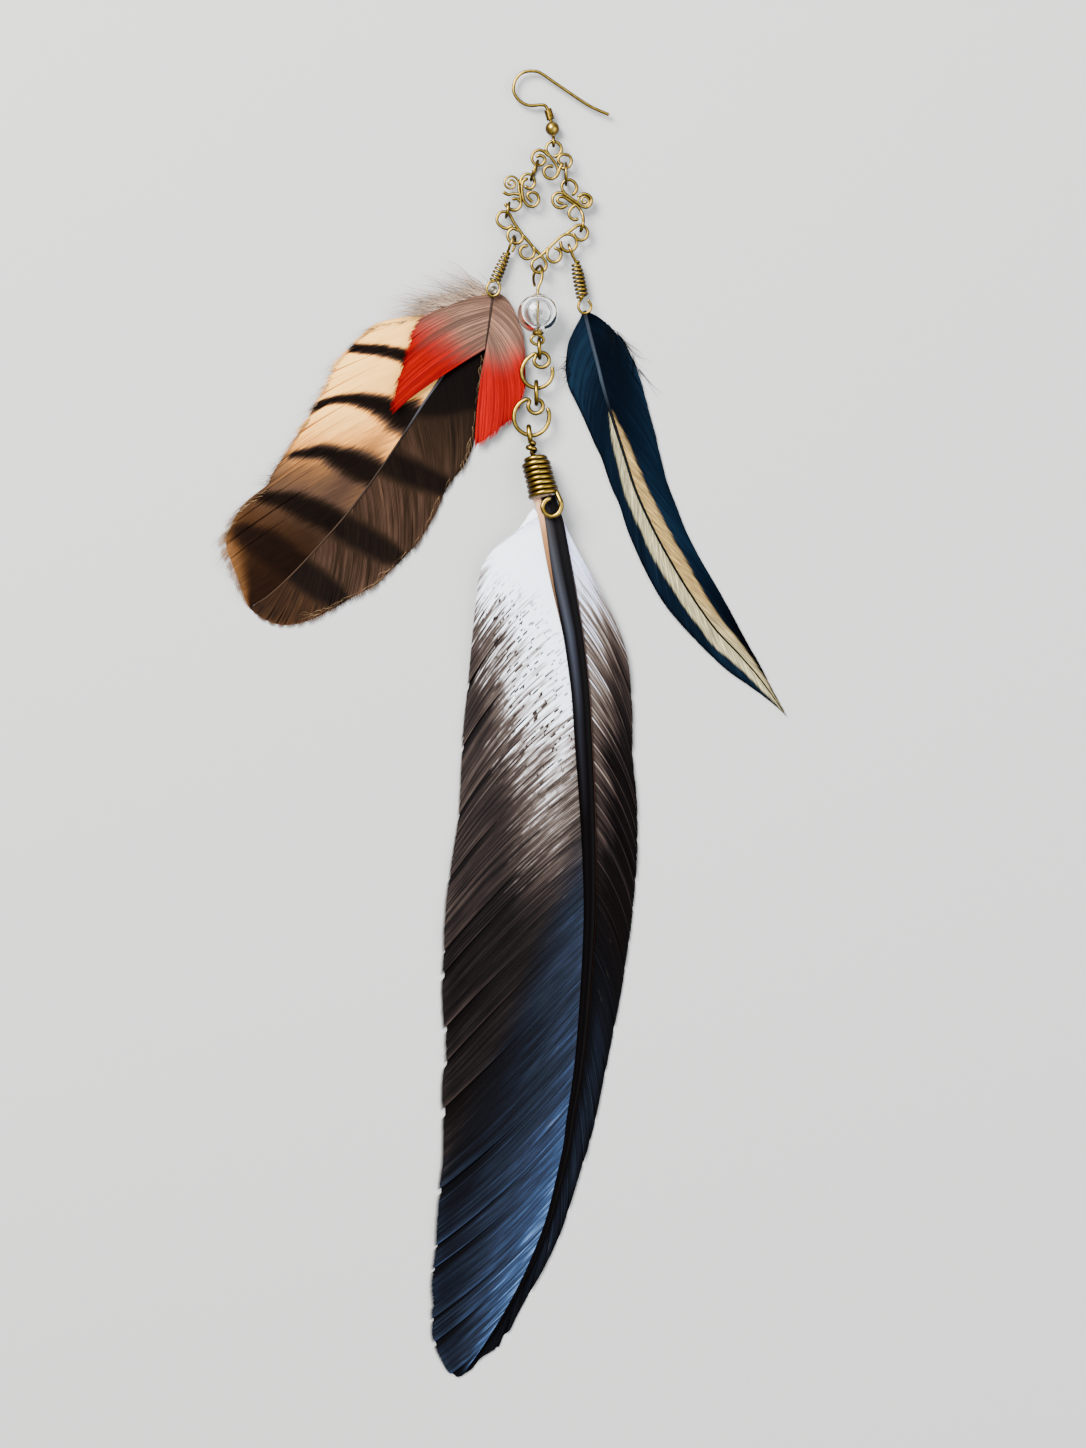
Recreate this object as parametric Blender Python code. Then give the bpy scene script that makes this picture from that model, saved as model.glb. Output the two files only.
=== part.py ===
"""A vulture feather hung as the long drop of an ear ornament, lying flat on a table.

The world frame is the table top: +X runs to the right of the ornament, +Y towards the
ear hook and +Z up. Every length below is in millimetres and is written out in metres.
"""

import math

import bmesh
import bpy
import numpy as np

MM = 0.001

# Wire diameters
EAR_WIRE = 0.66
FINE_WIRE = 0.34
CAST_WIRE = 0.62
LINK_WIRE = 0.60
TIE_WIRE = 0.52
PIN_WIRE = 0.60
CHAIN_WIRE = 0.80
HEAVY_WIRE = 1.00

# Heights above the table
FRAME_HEIGHT = 2.2
CHAIN_HEIGHT = 2.7
BALL_RADIUS = 1.40
BEAD_RADIUS = 4.05

# Facets
CAST_STEP = 1.0
WIRE_SIDES = 5

COLOURS = {
    "brass": (0.42, 0.28, 0.09, 1.0),
    "pewter": (0.50, 0.44, 0.36, 1.0),
    "glass": (0.95, 0.94, 0.92, 1.0),
    "dark_feather": (0.05, 0.05, 0.07, 1.0),
    "barred_feather": (0.35, 0.22, 0.12, 1.0),
    "red_feather": (0.65, 0.05, 0.02, 1.0),
    "blue_feather": (0.01, 0.05, 0.10, 1.0),
}


def material(slot):
    """One Principled material for each slot, made the first time it is asked for."""
    found = bpy.data.materials.get(slot)
    if found:
        return found
    made = bpy.data.materials.new(slot)
    made.use_nodes = True
    shader = made.node_tree.nodes["Principled BSDF"]
    shader.inputs["Base Color"].default_value = COLOURS[slot]
    shader.inputs["Metallic"].default_value = 1.0 if slot in ("brass", "pewter") else 0.0
    shader.inputs["Roughness"].default_value = 0.05 if slot == "glass" else 0.35
    shader.inputs["Transmission Weight"].default_value = 1.0 if slot == "glass" else 0.0
    made.diffuse_color = COLOURS[slot]
    return made


def node(name, vertices, faces, slot):
    """Link one closed mesh to the scene; its vertices are given in millimetres."""
    mesh = bpy.data.meshes.new(name)
    mesh.from_pydata([tuple(v) for v in np.asarray(vertices, float) * MM], [], faces)
    work = bmesh.new()
    work.from_mesh(mesh)
    bmesh.ops.recalc_face_normals(work, faces=work.faces)
    if work.calc_volume(signed=True) < 0.0:
        bmesh.ops.reverse_faces(work, faces=work.faces)
    work.to_mesh(mesh)
    work.free()
    mesh.materials.append(material(slot))
    made = bpy.data.objects.new(name, mesh)
    bpy.context.scene.collection.objects.link(made)
    return made


def fuse(base, others):
    """Union the other solids into the base, as soldered or grown together."""
    for other in others:
        union = base.modifiers.new("union", "BOOLEAN")
        union.operation = "UNION"
        union.solver = "EXACT"
        union.object = other
        graph = bpy.context.evaluated_depsgraph_get()
        merged = bpy.data.meshes.new_from_object(base.evaluated_get(graph))
        base.modifiers.clear()
        spent = [base.data, other.data]
        base.data = merged
        bpy.data.objects.remove(other)
        for mesh in spent:
            bpy.data.meshes.remove(mesh)
    base.data.name = base.name
    return base


def at(points, height):
    """Lay flat points at one height."""
    return [(x, y, height) for x, y in points]


def smooth(points, step, closed=False):
    """Points about one step apart along the smooth curve through the given points."""
    p = np.asarray(points, float)
    if closed:
        q = np.vstack([p[-1:], p, p[:2]])
    else:
        q = np.vstack([2 * p[0] - p[1], p, 2 * p[-1] - p[-2]])
    t = np.linspace(0.0, 1.0, 16, endpoint=False)[:, None]
    dense = []
    for a, b, c, d in zip(q[:-3], q[1:-2], q[2:-1], q[3:]):
        dense.append(
            0.5
            * (
                2 * b
                + (c - a) * t
                + (2 * a - 5 * b + 4 * c - d) * t**2
                + (3 * b - a - 3 * c + d) * t**3
            )
        )
    last = p[:1] if closed else p[-1:]
    dense = np.vstack(dense + [last])
    run = np.concatenate([[0.0], np.cumsum(np.linalg.norm(np.diff(dense, axis=0), axis=1))])
    count = max(2, int(round(run[-1] / step)))
    s = np.linspace(0.0, run[-1], count + 1)
    out = np.column_stack([np.interp(s, run, dense[:, k]) for k in range(dense.shape[1])])
    return out[:-1] if closed else out


def rings_along(points, radii, sides, closed, flatten=1.0):
    """Cross-sections of a tube, carried along the path without twist."""
    p = np.asarray(points, float)
    if closed:
        tangent = np.roll(p, -1, axis=0) - np.roll(p, 1, axis=0)
    else:
        tangent = np.gradient(p, axis=0)
    tangent /= np.linalg.norm(tangent, axis=1)[:, None]
    up = np.array([0.0, 0.0, 1.0])
    if abs(tangent[0] @ up) > 0.9:
        up = np.array([1.0, 0.0, 0.0])
    normal = up - (up @ tangent[0]) * tangent[0]
    angles = 2 * math.pi * (np.arange(sides) + 0.5) / sides
    sections = []
    for point, direction, radius in zip(p, tangent, radii):
        normal = normal - (normal @ direction) * direction
        normal /= np.linalg.norm(normal)
        side = np.cross(direction, normal)
        across = np.cos(angles)[:, None] * side
        upward = np.sin(angles)[:, None] * normal * flatten
        sections.append(point + radius * (across + upward))
    return np.vstack(sections)


def tube(name, points, diameter, slot="brass", closed=False, sides=WIRE_SIDES, flatten=1.0):
    """A round wire along the points; diameter is one number or one for each point."""
    count = len(points)
    radii = np.broadcast_to(np.asarray(diameter, float) / 2, (count,))
    vertices = rings_along(points, radii, sides, closed, flatten)
    faces = []
    for i in range(count if closed else count - 1):
        j = (i + 1) % count
        for k in range(sides):
            m = (k + 1) % sides
            faces.append((i * sides + k, i * sides + m, j * sides + m, j * sides + k))
    if not closed:
        faces.append(tuple(range(sides)))
        faces.append(tuple(range((count - 1) * sides, count * sides)))
    return node(name, vertices, faces, slot)


def turned(name, profile, start, direction, slot, sides):
    """Turn a closed (distance, radius) profile about an axis that starts at a point."""
    axis = np.asarray(direction, float) / np.linalg.norm(direction)
    side = np.cross(axis, (0.0, 0.0, 1.0))
    side /= np.linalg.norm(side)
    up = np.cross(side, axis)
    angles = 2 * math.pi * np.arange(sides) / sides
    around = np.cos(angles)[:, None] * side + np.sin(angles)[:, None] * up
    vertices = np.vstack([start + axis * d + around * r for d, r in profile])
    count = len(profile)
    faces = []
    for i in range(count):
        j = (i + 1) % count
        for k in range(sides):
            m = (k + 1) % sides
            faces.append((i * sides + k, i * sides + m, j * sides + m, j * sides + k))
    return node(name, vertices, faces, slot)


def coil(start, end, radii, turns, steps, phase):
    """Centre line of a wire wound about the axis from start to end."""
    start, end = np.asarray(start, float), np.asarray(end, float)
    axis = (end - start) / np.linalg.norm(end - start)
    side = np.cross(axis, (0.0, 0.0, 1.0))
    side /= np.linalg.norm(side)
    up = np.cross(side, axis)
    s = np.linspace(0.0, 1.0, int(turns * steps) + 1)
    angle = math.radians(phase) + 2 * math.pi * turns * s
    radius = np.interp(s, np.linspace(0.0, 1.0, len(radii)), radii)
    centre = start + s[:, None] * (end - start)
    ring = np.cos(angle)[:, None] * side + np.sin(angle)[:, None] * up
    return centre + radius[:, None] * ring


def upright_ring(name, centre, height, heading, radius, wire, steps=12):
    """A jump ring standing on edge; heading is its direction on the table in degrees."""
    angles = 2 * math.pi * np.arange(steps) / steps
    c, s = math.cos(math.radians(heading)), math.sin(math.radians(heading))
    points = [
        (
            centre[0] + radius * math.cos(a) * c,
            centre[1] + radius * math.cos(a) * s,
            height + radius * math.sin(a),
        )
        for a in angles
    ]
    return tube(name, points, wire, closed=True)


def cast(name, wires):
    """An openwork connector cast in one piece: flat scrolls that run into each other."""
    made = [tube(f"{name}_{i}", smooth(at(w, FRAME_HEIGHT), CAST_STEP), CAST_WIRE)
            for i, w in enumerate(wires)]
    made[0].name = name
    return fuse(made[0], made[1:])


def spiral(centre, outer, inner, start, turns, steps=10):
    """A flat spiral that winds inwards anticlockwise; start is in degrees."""
    s = np.linspace(0.0, 1.0, int(turns * steps) + 1)
    angle = math.radians(start) + 2 * math.pi * turns * s
    radius = outer + (inner - outer) * s
    return [
        (centre[0] + r * math.cos(a), centre[1] + r * math.sin(a))
        for r, a in zip(radius, angle)
    ]


# The ear hook: the wire, its fine coil and its ball


def ear_hook():
    bend = [
        (20.77, 121.67, 1.5), (18.64, 122.59, 1.5), (16.82, 123.51, 1.5), (14.78, 124.83, 1.5),
        (12.53, 126.36, 1.5), (10.29, 127.88, 1.5), (8.26, 129.32, 1.5), (6.84, 130.13, 1.5),
        (5.60, 130.29, 1.5), (4.39, 130.19, 1.5), (3.17, 129.62, 1.5), (2.25, 128.40, 1.5),
        (1.91, 126.96, 1.5), (2.05, 125.94, 1.5), (2.77, 124.73, 1.5), (3.99, 123.81, 1.5),
        (5.41, 123.41, 1.5), (7.00, 123.53, 1.5), (8.04, 123.49, 1.5), (8.56, 123.01, 1.5),
    ]
    shank = [(8.92, 122.05, 1.5), (9.32, 120.65, 1.5), (9.66, 118.82, 1.5), (9.84, 117.58, 1.5)]
    eye = [
        (9.90, 116.88, 1.4), (9.90, 116.28, 1.3), (9.90, 115.59, 1.6), (9.89, 115.23, 2.2),
        (9.89, 115.39, 2.8), (9.89, 115.97, 3.1), (9.89, 116.65, 2.85), (9.89, 116.94, 2.35),
    ]
    tube("ear_wire", smooth(bend + shank + eye, 1.15), EAR_WIRE)
    wound = coil((8.76, 122.61, 1.5), (9.32, 120.65, 1.5), (0.66, 0.66), 5, 6, 90)
    tube("hook_coil", wound, FINE_WIRE)
    bore = EAR_WIRE / 2 + 0.12
    edge = math.acos(bore / BALL_RADIUS)
    profile = [
        (BALL_RADIUS * math.sin(a), BALL_RADIUS * math.cos(a))
        for a in np.linspace(-edge, edge, 7)
    ]
    turned("hook_ball", profile, (9.66, 118.82, 1.5), (0.16, -1.0, 0.0), "brass", 10)


# The four cast connectors and the rings between them


def top_scroll():
    spine = [
        (10.19, 113.15), (11.11, 113.63), (11.47, 114.51), (11.27, 115.35), (10.59, 115.95),
        (9.83, 116.13), (9.12, 115.91), (8.56, 115.31), (8.44, 114.47), (8.92, 113.59),
        (9.71, 112.52), (10.51, 111.32), (10.79, 110.24), (10.47, 109.25), (9.55, 108.69),
        (8.48, 109.01), (7.96, 109.93), (8.24, 110.88), (9.12, 111.28), (9.59, 111.16),
    ]
    left_curl = [
        (8.78, 113.43), (8.00, 114.11), (7.08, 114.43), (6.13, 114.07), (5.61, 113.15), (5.73, 112.16),
        (6.48, 111.46), (7.40, 111.48), (8.12, 112.12), (8.08, 112.88), (7.40, 113.35), (6.68, 113.19),
    ]
    right_curl = [
        (11.63, 111.60), (10.99, 111.92), (10.83, 112.68), (11.31, 113.35), (12.19, 113.59),
        (13.14, 113.15), (13.46, 112.24), (13.10, 111.28), (12.27, 110.80), (11.79, 110.80),
    ]
    strut = [(11.63, 111.56), (11.15, 110.80), (10.95, 110.04), (10.55, 109.33)]
    cast("top_scroll", [spine, left_curl, right_curl, strut])


def left_scroll():
    inner_end = spiral((1.36, 107.79), 1.60, 0.34, -8, 1.75)
    stem = inner_end[::-1] + [
        (2.98, 106.66), (3.25, 105.36), (3.39, 104.06), (3.25, 103.15), (2.54, 102.49), (1.70, 102.47),
        (0.90, 102.87), (0.34, 103.59),
    ]
    lip = [(3.29, 104.14), (2.70, 104.66), (1.94, 104.66)]
    arch = [
        (3.33, 107.75), (3.45, 108.73), (4.13, 109.51), (5.09, 109.61), (5.85, 108.97),
        (6.13, 107.93), (5.73, 106.97), (4.93, 106.74), (4.37, 107.09),
    ]
    return_curl = [
        (4.53, 108.65), (3.83, 108.19), (3.61, 107.05), (3.69, 105.66), (4.01, 104.34), (4.73, 103.43),
        (5.77, 103.15), (6.68, 103.75), (6.96, 104.78), (6.52, 105.70), (5.53, 106.06),
        (4.77, 105.70), (4.81, 104.98), (5.49, 104.26),
    ]
    bar = [(0.03, 105.98), (0.82, 105.54), (2.02, 105.70), (3.14, 105.54)]
    cast("left_scroll", [stem, arch, return_curl, bar, lip])


def right_scroll():
    spine = [
        (13.70, 105.46), (14.44, 106.38), (14.38, 107.53), (13.50, 108.39), (12.46, 108.41),
        (11.71, 107.77), (11.57, 106.86), (12.11, 105.90), (13.14, 104.94), (14.50, 104.02),
        (15.77, 103.11), (16.69, 103.09), (17.37, 103.86), (17.41, 104.82), (16.69, 105.54),
        (15.69, 105.66), (14.96, 105.22),
    ]
    eye_of_spine = spiral((16.05, 104.30), 1.32, 0.34, 145, 1.5)
    outer_arc = [
        (12.39, 103.31), (11.39, 102.87), (10.31, 103.19), (9.71, 104.14), (9.83, 105.22),
        (10.67, 105.86), (11.71, 105.86), (12.50, 105.34),
    ]
    small_c = [
        (14.18, 103.43), (13.50, 102.91), (12.98, 102.07), (13.10, 101.15), (13.86, 100.56), (14.58, 100.64),
    ]
    tail = [
        (11.55, 103.79, 2.2), (10.87, 104.02, 2.2), (10.63, 104.66, 2.2), (11.11, 105.10, 2.2),
        (12.07, 105.02, 2.2), (13.30, 104.18, 2.2), (14.70, 103.15, 2.2), (15.53, 101.98, 2.3),
        (15.83, 100.59, 2.75), (15.76, 99.43, 3.1), (15.45, 98.53, 2.7), (15.30, 98.31, 2),
        (15.43, 98.73, 1.3), (15.63, 99.43, 1.15),
    ]
    made = cast("right_scroll", [spine, eye_of_spine, outer_arc, small_c])
    return fuse(made, [tube("tail", smooth(tail, CAST_STEP), CAST_WIRE)])


def lower_frame():
    left_bar = [
        (1.52, 99.28), (0.42, 98.78), (-0.91, 99.50), (-1.39, 100.58), (-0.93, 101.79),
        (0.01, 102.17), (0.92, 101.79), (1.54, 100.91), (1.96, 100.02), (2.92, 98.68),
        (3.69, 97.49), (3.67, 96.63), (2.94, 95.91), (1.98, 95.95),
    ]
    left_loop = [(2.66, 98.48), (1.86, 98.76), (1.02, 98.28), (0.74, 97.39), (1.00, 96.49), (1.62, 96.05)]
    left_curl = [
        (3.81, 97.37), (5.11, 95.97), (5.87, 94.89), (6.07, 93.98), (5.65, 93.10), (4.61, 92.70),
        (3.57, 93.18), (3.21, 94.18), (3.65, 95.09), (4.53, 95.33),
    ]
    left_vertex = [(6.01, 94.89), (7.40, 93.38), (8.20, 92.34), (8.48, 91.50), (8.20, 90.67), (7.40, 90.07)]
    right_vertex = [
        (8.80, 94.77), (7.40, 93.42), (6.50, 92.90), (5.73, 92.20), (5.55, 91.23), (6.21, 90.23),
        (7.20, 89.99),
    ]
    right_ring = [
        (12.56, 97.76), (13.78, 98.76), (14.78, 99.40), (15.77, 99.36), (16.57, 98.58), (16.69, 97.60),
        (16.17, 96.73), (15.28, 96.43), (14.46, 96.81), (13.90, 97.64),
    ]
    right_bar = [
        (11.29, 95.97), (11.51, 95.01), (12.27, 94.34), (13.18, 94.26), (14.10, 94.77),
        (14.54, 95.81), (14.26, 96.89), (13.38, 97.51), (12.39, 97.62), (11.43, 97.21), (10.19, 96.09),
        (9.08, 94.97), (8.64, 93.98), (8.72, 92.98), (9.39, 92.22), (10.31, 92.10),
        (11.11, 92.70), (11.39, 93.70), (11.07, 94.49), (10.31, 94.85),
    ]
    cast(
        "lower_frame",
        [right_bar, right_ring, right_vertex, left_vertex, left_curl, left_bar, left_loop],
    )


def connector_links():
    upright_ring("top_left_link", (6.09, 110.30), 2.35, 70, 2.05, LINK_WIRE)
    upright_ring("top_right_link", (12.39, 109.59), 2.45, 90, 2.14, LINK_WIRE)
    upright_ring("lower_left_link", (0.76, 102.47), 2.0, 77, 1.50, LINK_WIRE)


# The two side drops: wire ties, eyelet


def left_tie():
    eye = [
        (1.69, 94.42, 1.3), (2.13, 95.34, 1.15), (2.25, 96.15, 1.2), (2.25, 96.91, 1.5),
        (2.10, 97.26, 2.1), (1.90, 96.88, 2.8), (1.55, 96.04, 3.1), (1.15, 95.11, 2.9),
        (0.98, 94.55, 2.4),
    ]
    wound = coil((0.70, 94.17, 1.65), (-1.86, 88.29, 1.65), (0.52, 0.78, 0.94, 0.94), 8, 6, 90)
    ring = [
        (-2.84, 88.01, 2.7), (-3.38, 87.05, 2.7), (-3.16, 85.94, 2.7), (-2.36, 85.26, 2.7), (-1.48, 85.46, 2.7),
        (-0.85, 86.34, 2.7), (-0.85, 87.37, 2.7), (-1.12, 87.93, 2.7),
    ]
    path = np.vstack([smooth(eye, 1.0), wound, smooth(ring, 1.1)])
    tube("left_tie", path, TIE_WIRE)


def left_eyelet():
    profile = [(0.0, 0.05), (0.0, 0.84), (0.35, 0.84), (0.5, 0.70), (0.42, 0.52), (0.3, 0.44),
               (0.3, 0.25), (0.5, 0.10)]
    turned("left_eyelet", profile, (-2.11, 86.61, 2.15), (0.0, 0.02, 1.0), "pewter", 10)


def right_tie():
    eye = [
        (13.71, 93.34, 1.35), (13.35, 94.47, 1.25), (13.03, 95.31, 1.5), (12.92, 95.59, 2.1),
        (13.02, 95.22, 2.75), (13.34, 94.34, 3.05), (13.77, 93.28, 2.9), (14.10, 92.62, 2.5),
    ]
    wound = coil((14.28, 92.18, 1.65), (15.70, 85.09, 1.65), (0.62, 1.02, 1.05, 1.05), 9, 6, 90)
    ring = [
        (15.10, 84.24, 2.25), (14.82, 83.13, 2.2), (15.38, 82.13, 2.2), (16.25, 81.88, 2.2), (17.17, 82.45, 2.2),
        (17.37, 83.53, 2.2), (16.85, 84.40, 2.25),
    ]
    path = np.vstack([smooth(eye, 1.0), wound, smooth(ring, 1.1)])
    tube("right_tie", path, TIE_WIRE)


# The middle drop: bead, chain and heavy tie


def bead_pin():
    bail = [
        (6.13, 87.30, 3.3), (5.89, 88.69, 1.8), (6.04, 89.98, 1.05), (6.64, 91.03, 1.3),
        (7.20, 91.36, 2.1), (7.56, 90.81, 2.95), (7.66, 89.73, 3.6), (7.48, 88.28, 4),
        (6.93, 87.00, 4.1), (6.75, 85.88, 4.1), (6.75, 82.10, 4.1), (6.75, 77.65, 4.1),
    ]
    eye = [
        (7.24, 77.24, 3.9), (7.88, 76.70, 3.7), (7.80, 76.01, 3.5), (7.20, 75.54, 3.4),
        (6.41, 75.54, 3.4), (5.69, 75.90, 3.4), (5.39, 76.53, 3.45), (5.65, 77.08, 3.5),
        (6.09, 77.32, 3.5),
    ]
    tube("bead_pin", smooth(bail + eye, 0.95), PIN_WIRE)


def glass_bead():
    bore = 0.46
    edge = math.acos(bore / BEAD_RADIUS)
    profile = [
        (BEAD_RADIUS * math.sin(a), BEAD_RADIUS * math.cos(a))
        for a in np.linspace(-edge, edge, 12)
    ]
    turned("glass_bead", profile, (6.75, 82.14, 4.1), (0.0, -1.0, 0.0), "glass", 16)


def bead_cap():
    profile = [(0.0, 1.20), (0.28, 1.02), (0.48, 0.66), (0.48, 0.47), (0.22, 0.47), (0.14, 0.9)]
    turned("bead_cap", profile, (6.75, 78.19, 4.1), (0.0, -1.0, 0.0), "brass", 10)


def chain():
    upright_ring("ring_1", (7.08, 74.74), 2.95, 92, 1.90, CHAIN_WIRE)
    upright_ring("ring_2", (6.48, 65.95), 2.72, 90, 2.26, 0.86)
    link_1 = [
        (9.63, 70.84), (9.67, 69.44), (8.92, 67.93), (7.52, 67.05), (5.93, 67.01),
        (4.49, 67.81), (3.66, 69.25), (3.62, 70.84), (4.41, 72.43), (5.53, 73.43), (6.37, 73.79),
        (6.33, 73.11), (5.99, 72.43), (6.33, 71.60), (7.20, 71.06), (8.20, 71.22), (8.92, 71.95),
        (8.96, 72.95), (8.36, 73.75), (7.48, 74.03),
    ]
    link_2 = [
        (8.80, 62.63), (9.06, 61.56), (8.80, 59.88), (7.80, 58.37), (6.21, 57.53), (4.53, 57.65),
        (2.94, 58.65), (2.10, 60.28), (2.10, 62.07), (2.82, 63.55), (3.90, 64.42), (4.73, 64.66),
        (5.13, 64.23), (4.85, 63.35), (5.29, 62.35), (6.29, 61.87), (7.36, 62.27), (7.80, 63.27),
        (7.44, 64.27), (6.41, 64.72),
    ]
    tube("scroll_link_1", smooth(at(link_1, CHAIN_HEIGHT), 1.1), 0.72)
    tube("scroll_link_2", smooth(at(link_2, CHAIN_HEIGHT), 1.2), CHAIN_WIRE)


def heavy_tie():
    eye = [
        (5.17, 57.39, 1.55), (5.09, 58.34, 1.6), (4.99, 59.10, 2.1), (4.97, 59.24, 2.75),
        (4.99, 58.87, 3.4), (5.09, 58.00, 3.75), (5.17, 57.01, 3.7), (5.29, 56.41, 3.2),
    ]
    neck = coil((5.33, 56.08, 2.45), (5.57, 54.27, 2.6), (0.60, 0.72), 1.5, 7, 90)
    radii = (1.5, 2.4, 2.45, 2.45, 2.45, 2.5, 2.6, 2.8)
    wound = coil((6.05, 53.15, 2.75), (8.06, 45.42, 3.95), radii, 7.667, 8, 270)
    ring = [
        (11.29, 44.14, 5.9), (11.41, 43.03, 5.9), (10.77, 41.72, 5.9), (9.51, 41.16, 5.9),
        (8.28, 41.76, 5.9), (7.72, 42.99, 5.9), (8.12, 44.06, 5.85), (8.91, 44.66, 5.8),
    ]
    path = np.vstack([smooth(eye, 1.2), neck, wound, smooth(ring, 1.8)])
    tube("feather_tie", path, HEAVY_WIRE, sides=6)


# Feathers


def through(values, t):
    """Smooth interpolation of evenly spaced stations at the places t from 0 to 1."""
    v = np.asarray(values, float)
    v = v[:, None] if v.ndim == 1 else v
    q = np.vstack([2 * v[0] - v[1], v, 2 * v[-1] - v[-2]])
    x = np.clip(np.asarray(t, float), 0.0, 1.0) * (len(v) - 1)
    i = np.minimum(x.astype(int), len(v) - 2)
    f = (x - i)[:, None]
    a, b, c, d = q[i], q[i + 1], q[i + 2], q[i + 3]
    return b + 0.5 * f * (c - a + f * (2 * a - 5 * b + 4 * c - d + f * (3 * (b - c) + d - a)))


END_FACES = ((0, 1, 2, 11, 12), (2, 3, 4, 11), (4, 10, 11), (4, 5, 6, 10), (6, 7, 8, 9, 10))


def feather(name, slot, shaft, left, right, locks, thick, quill):
    """One feather: two vanes of raised locks grown onto a thicker shaft.

    shaft has a row for each station: x, y, half width, half height, underside height.
    left and right have a row for each station: the barb tip's x, y and height, and the
    barb's bow as a share of its length.
    """
    rows = 2 * locks + 1
    t = np.linspace(0.0, 1.0, rows)
    ridge = np.where(np.arange(rows) % 2 == 1, 1.0, 0.0)
    ridge[-1] = 0.0
    s = through(shaft, t)
    spine, half, tall, base = s[:, :2], s[:, 2], s[:, 3], np.maximum(s[:, 4], 0.0)
    along = np.gradient(spine, axis=0)
    along /= np.linalg.norm(along, axis=1)[:, None]
    across = np.column_stack([along[:, 1], -along[:, 0]])

    def vane(tips, side, share):
        tip = through(tips, t)
        root = spine + across * (side * half * 0.9)[:, None]
        chord = tip[:, :2] - root
        out = np.column_stack([chord[:, 1], -chord[:, 0]]) * side
        flat = root + chord * share + out * (tip[:, 3] * 4 * share * (1 - share))[:, None]
        reach = 1.0 + 0.012 * ridge * share
        flat = root + (flat - root) * reach[:, None]
        middle = base + tall
        height = middle + (tip[:, 2] - middle) * share**0.75
        lift = thick * (0.35 + 0.65 * ridge) * (1 - 0.35 * share)
        under = height - thick * (0.9 - 0.35 * share)
        top = np.column_stack([flat, height + lift * 0.5])
        low = np.column_stack([flat, np.maximum(under, 0.02)])
        return top, low

    def crest(side, up):
        flat = spine + across * (side * half)[:, None]
        return np.column_stack([flat, base + tall * (1 + up)])

    shares = (1.0, 0.55, 0.06)
    left_side = [vane(left, 1.0, share) for share in shares]
    right_side = [vane(right, -1.0, share) for share in shares]
    ring = [top for top, low in left_side]
    ring += [crest(0.7, 0.7), crest(0.0, 1.0), crest(-0.7, 0.7)]
    ring += [top for top, low in reversed(right_side)]
    ring += [right_side[0][1], crest(-0.5, -1.0), crest(0.5, -1.0), left_side[0][1]]
    size = len(ring)
    vertices = np.stack(ring, axis=1).reshape(-1, 3)
    faces = []
    for i in range(rows - 1):
        for k in range(size):
            m = (k + 1) % size
            faces.append((i * size + k, i * size + m, (i + 1) * size + m, (i + 1) * size + k))
    for first in (0, (rows - 1) * size):
        faces += [tuple(first + k for k in group) for group in END_FACES]
    blade = node(name, vertices, faces, slot)
    path = smooth([p[:3] for p in quill], 1.6)
    widths = through([p[3] for p in quill], np.linspace(0.0, 1.0, len(path)))[:, 0]
    return fuse(blade, [tube("quill", path, widths, slot, sides=8, flatten=0.8)])




def vulture_feather():
    shaft = [
        (9.50, 42.34, 1.72, 1.20, 2.90), (11.49, 32.75, 1.74, 1.20, 1.75),
        (13.29, 20.77, 1.68, 1.20, 0.70), (15.39, 4.79, 1.58, 1.15, 0.0),
        (16.87, -13.18, 1.48, 1.05, 0.0), (17.13, -31.15, 1.30, 0.95, 0.0),
        (16.49, -51.13, 1.14, 0.80, 0.0), (14.59, -71.10, 0.92, 0.65, 0.0),
        (11.00, -91.07, 0.68, 0.50, 0.0), (4.01, -111.04, 0.48, 0.36, 0.0),
        (-7.78, -129.41, 0.22, 0.20, 0.0),
    ]
    left = [
        (-5.18, 27.56, 1.90, 0.08), (-6.48, 15.78, 1.20, 0.08), (-7.98, 1.20, 0.70, 0.09),
        (-9.37, -18.17, 0.45, 0.10), (-11.77, -37.15, 0.35, 0.11), (-12.57, -57.12, 0.35, 0.12),
        (-12.57, -77.09, 0.35, 0.12), (-13.77, -96.06, 0.35, 0.13), (-14.77, -113.03, 0.35, 0.13),
        (-13.17, -126.22, 0.30, 0.08), (-9.08, -130.11, 0.25, 0.0),
    ]
    right = [
        (20.18, 23.96, 2.00, -0.01), (24.38, 14.78, 1.30, 0.02), (25.67, 3.20, 0.80, 0.05),
        (26.27, -12.18, 0.50, 0.08), (26.57, -28.16, 0.40, 0.09), (25.07, -43.54, 0.35, 0.08),
        (22.18, -60.11, 0.35, 0.07), (18.78, -77.09, 0.35, 0.05), (13.19, -96.26, 0.30, 0.04),
        (3.21, -117.43, 0.25, 0.03), (-8.18, -130.61, 0.25, 0.0),
    ]
    quill = [
        (6.53, 51.37, 3.04, 2.2), (7.40, 47.75, 3.5, 2.6), (8.20, 45.14, 3.85, 2.8),
        (9.49, 41.76, 3.95, 3.3), (10.49, 38.60, 3.6, 3.2),
    ]
    feather("vulture_feather", "dark_feather", shaft, left, right, 40, 0.42, quill)


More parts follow.
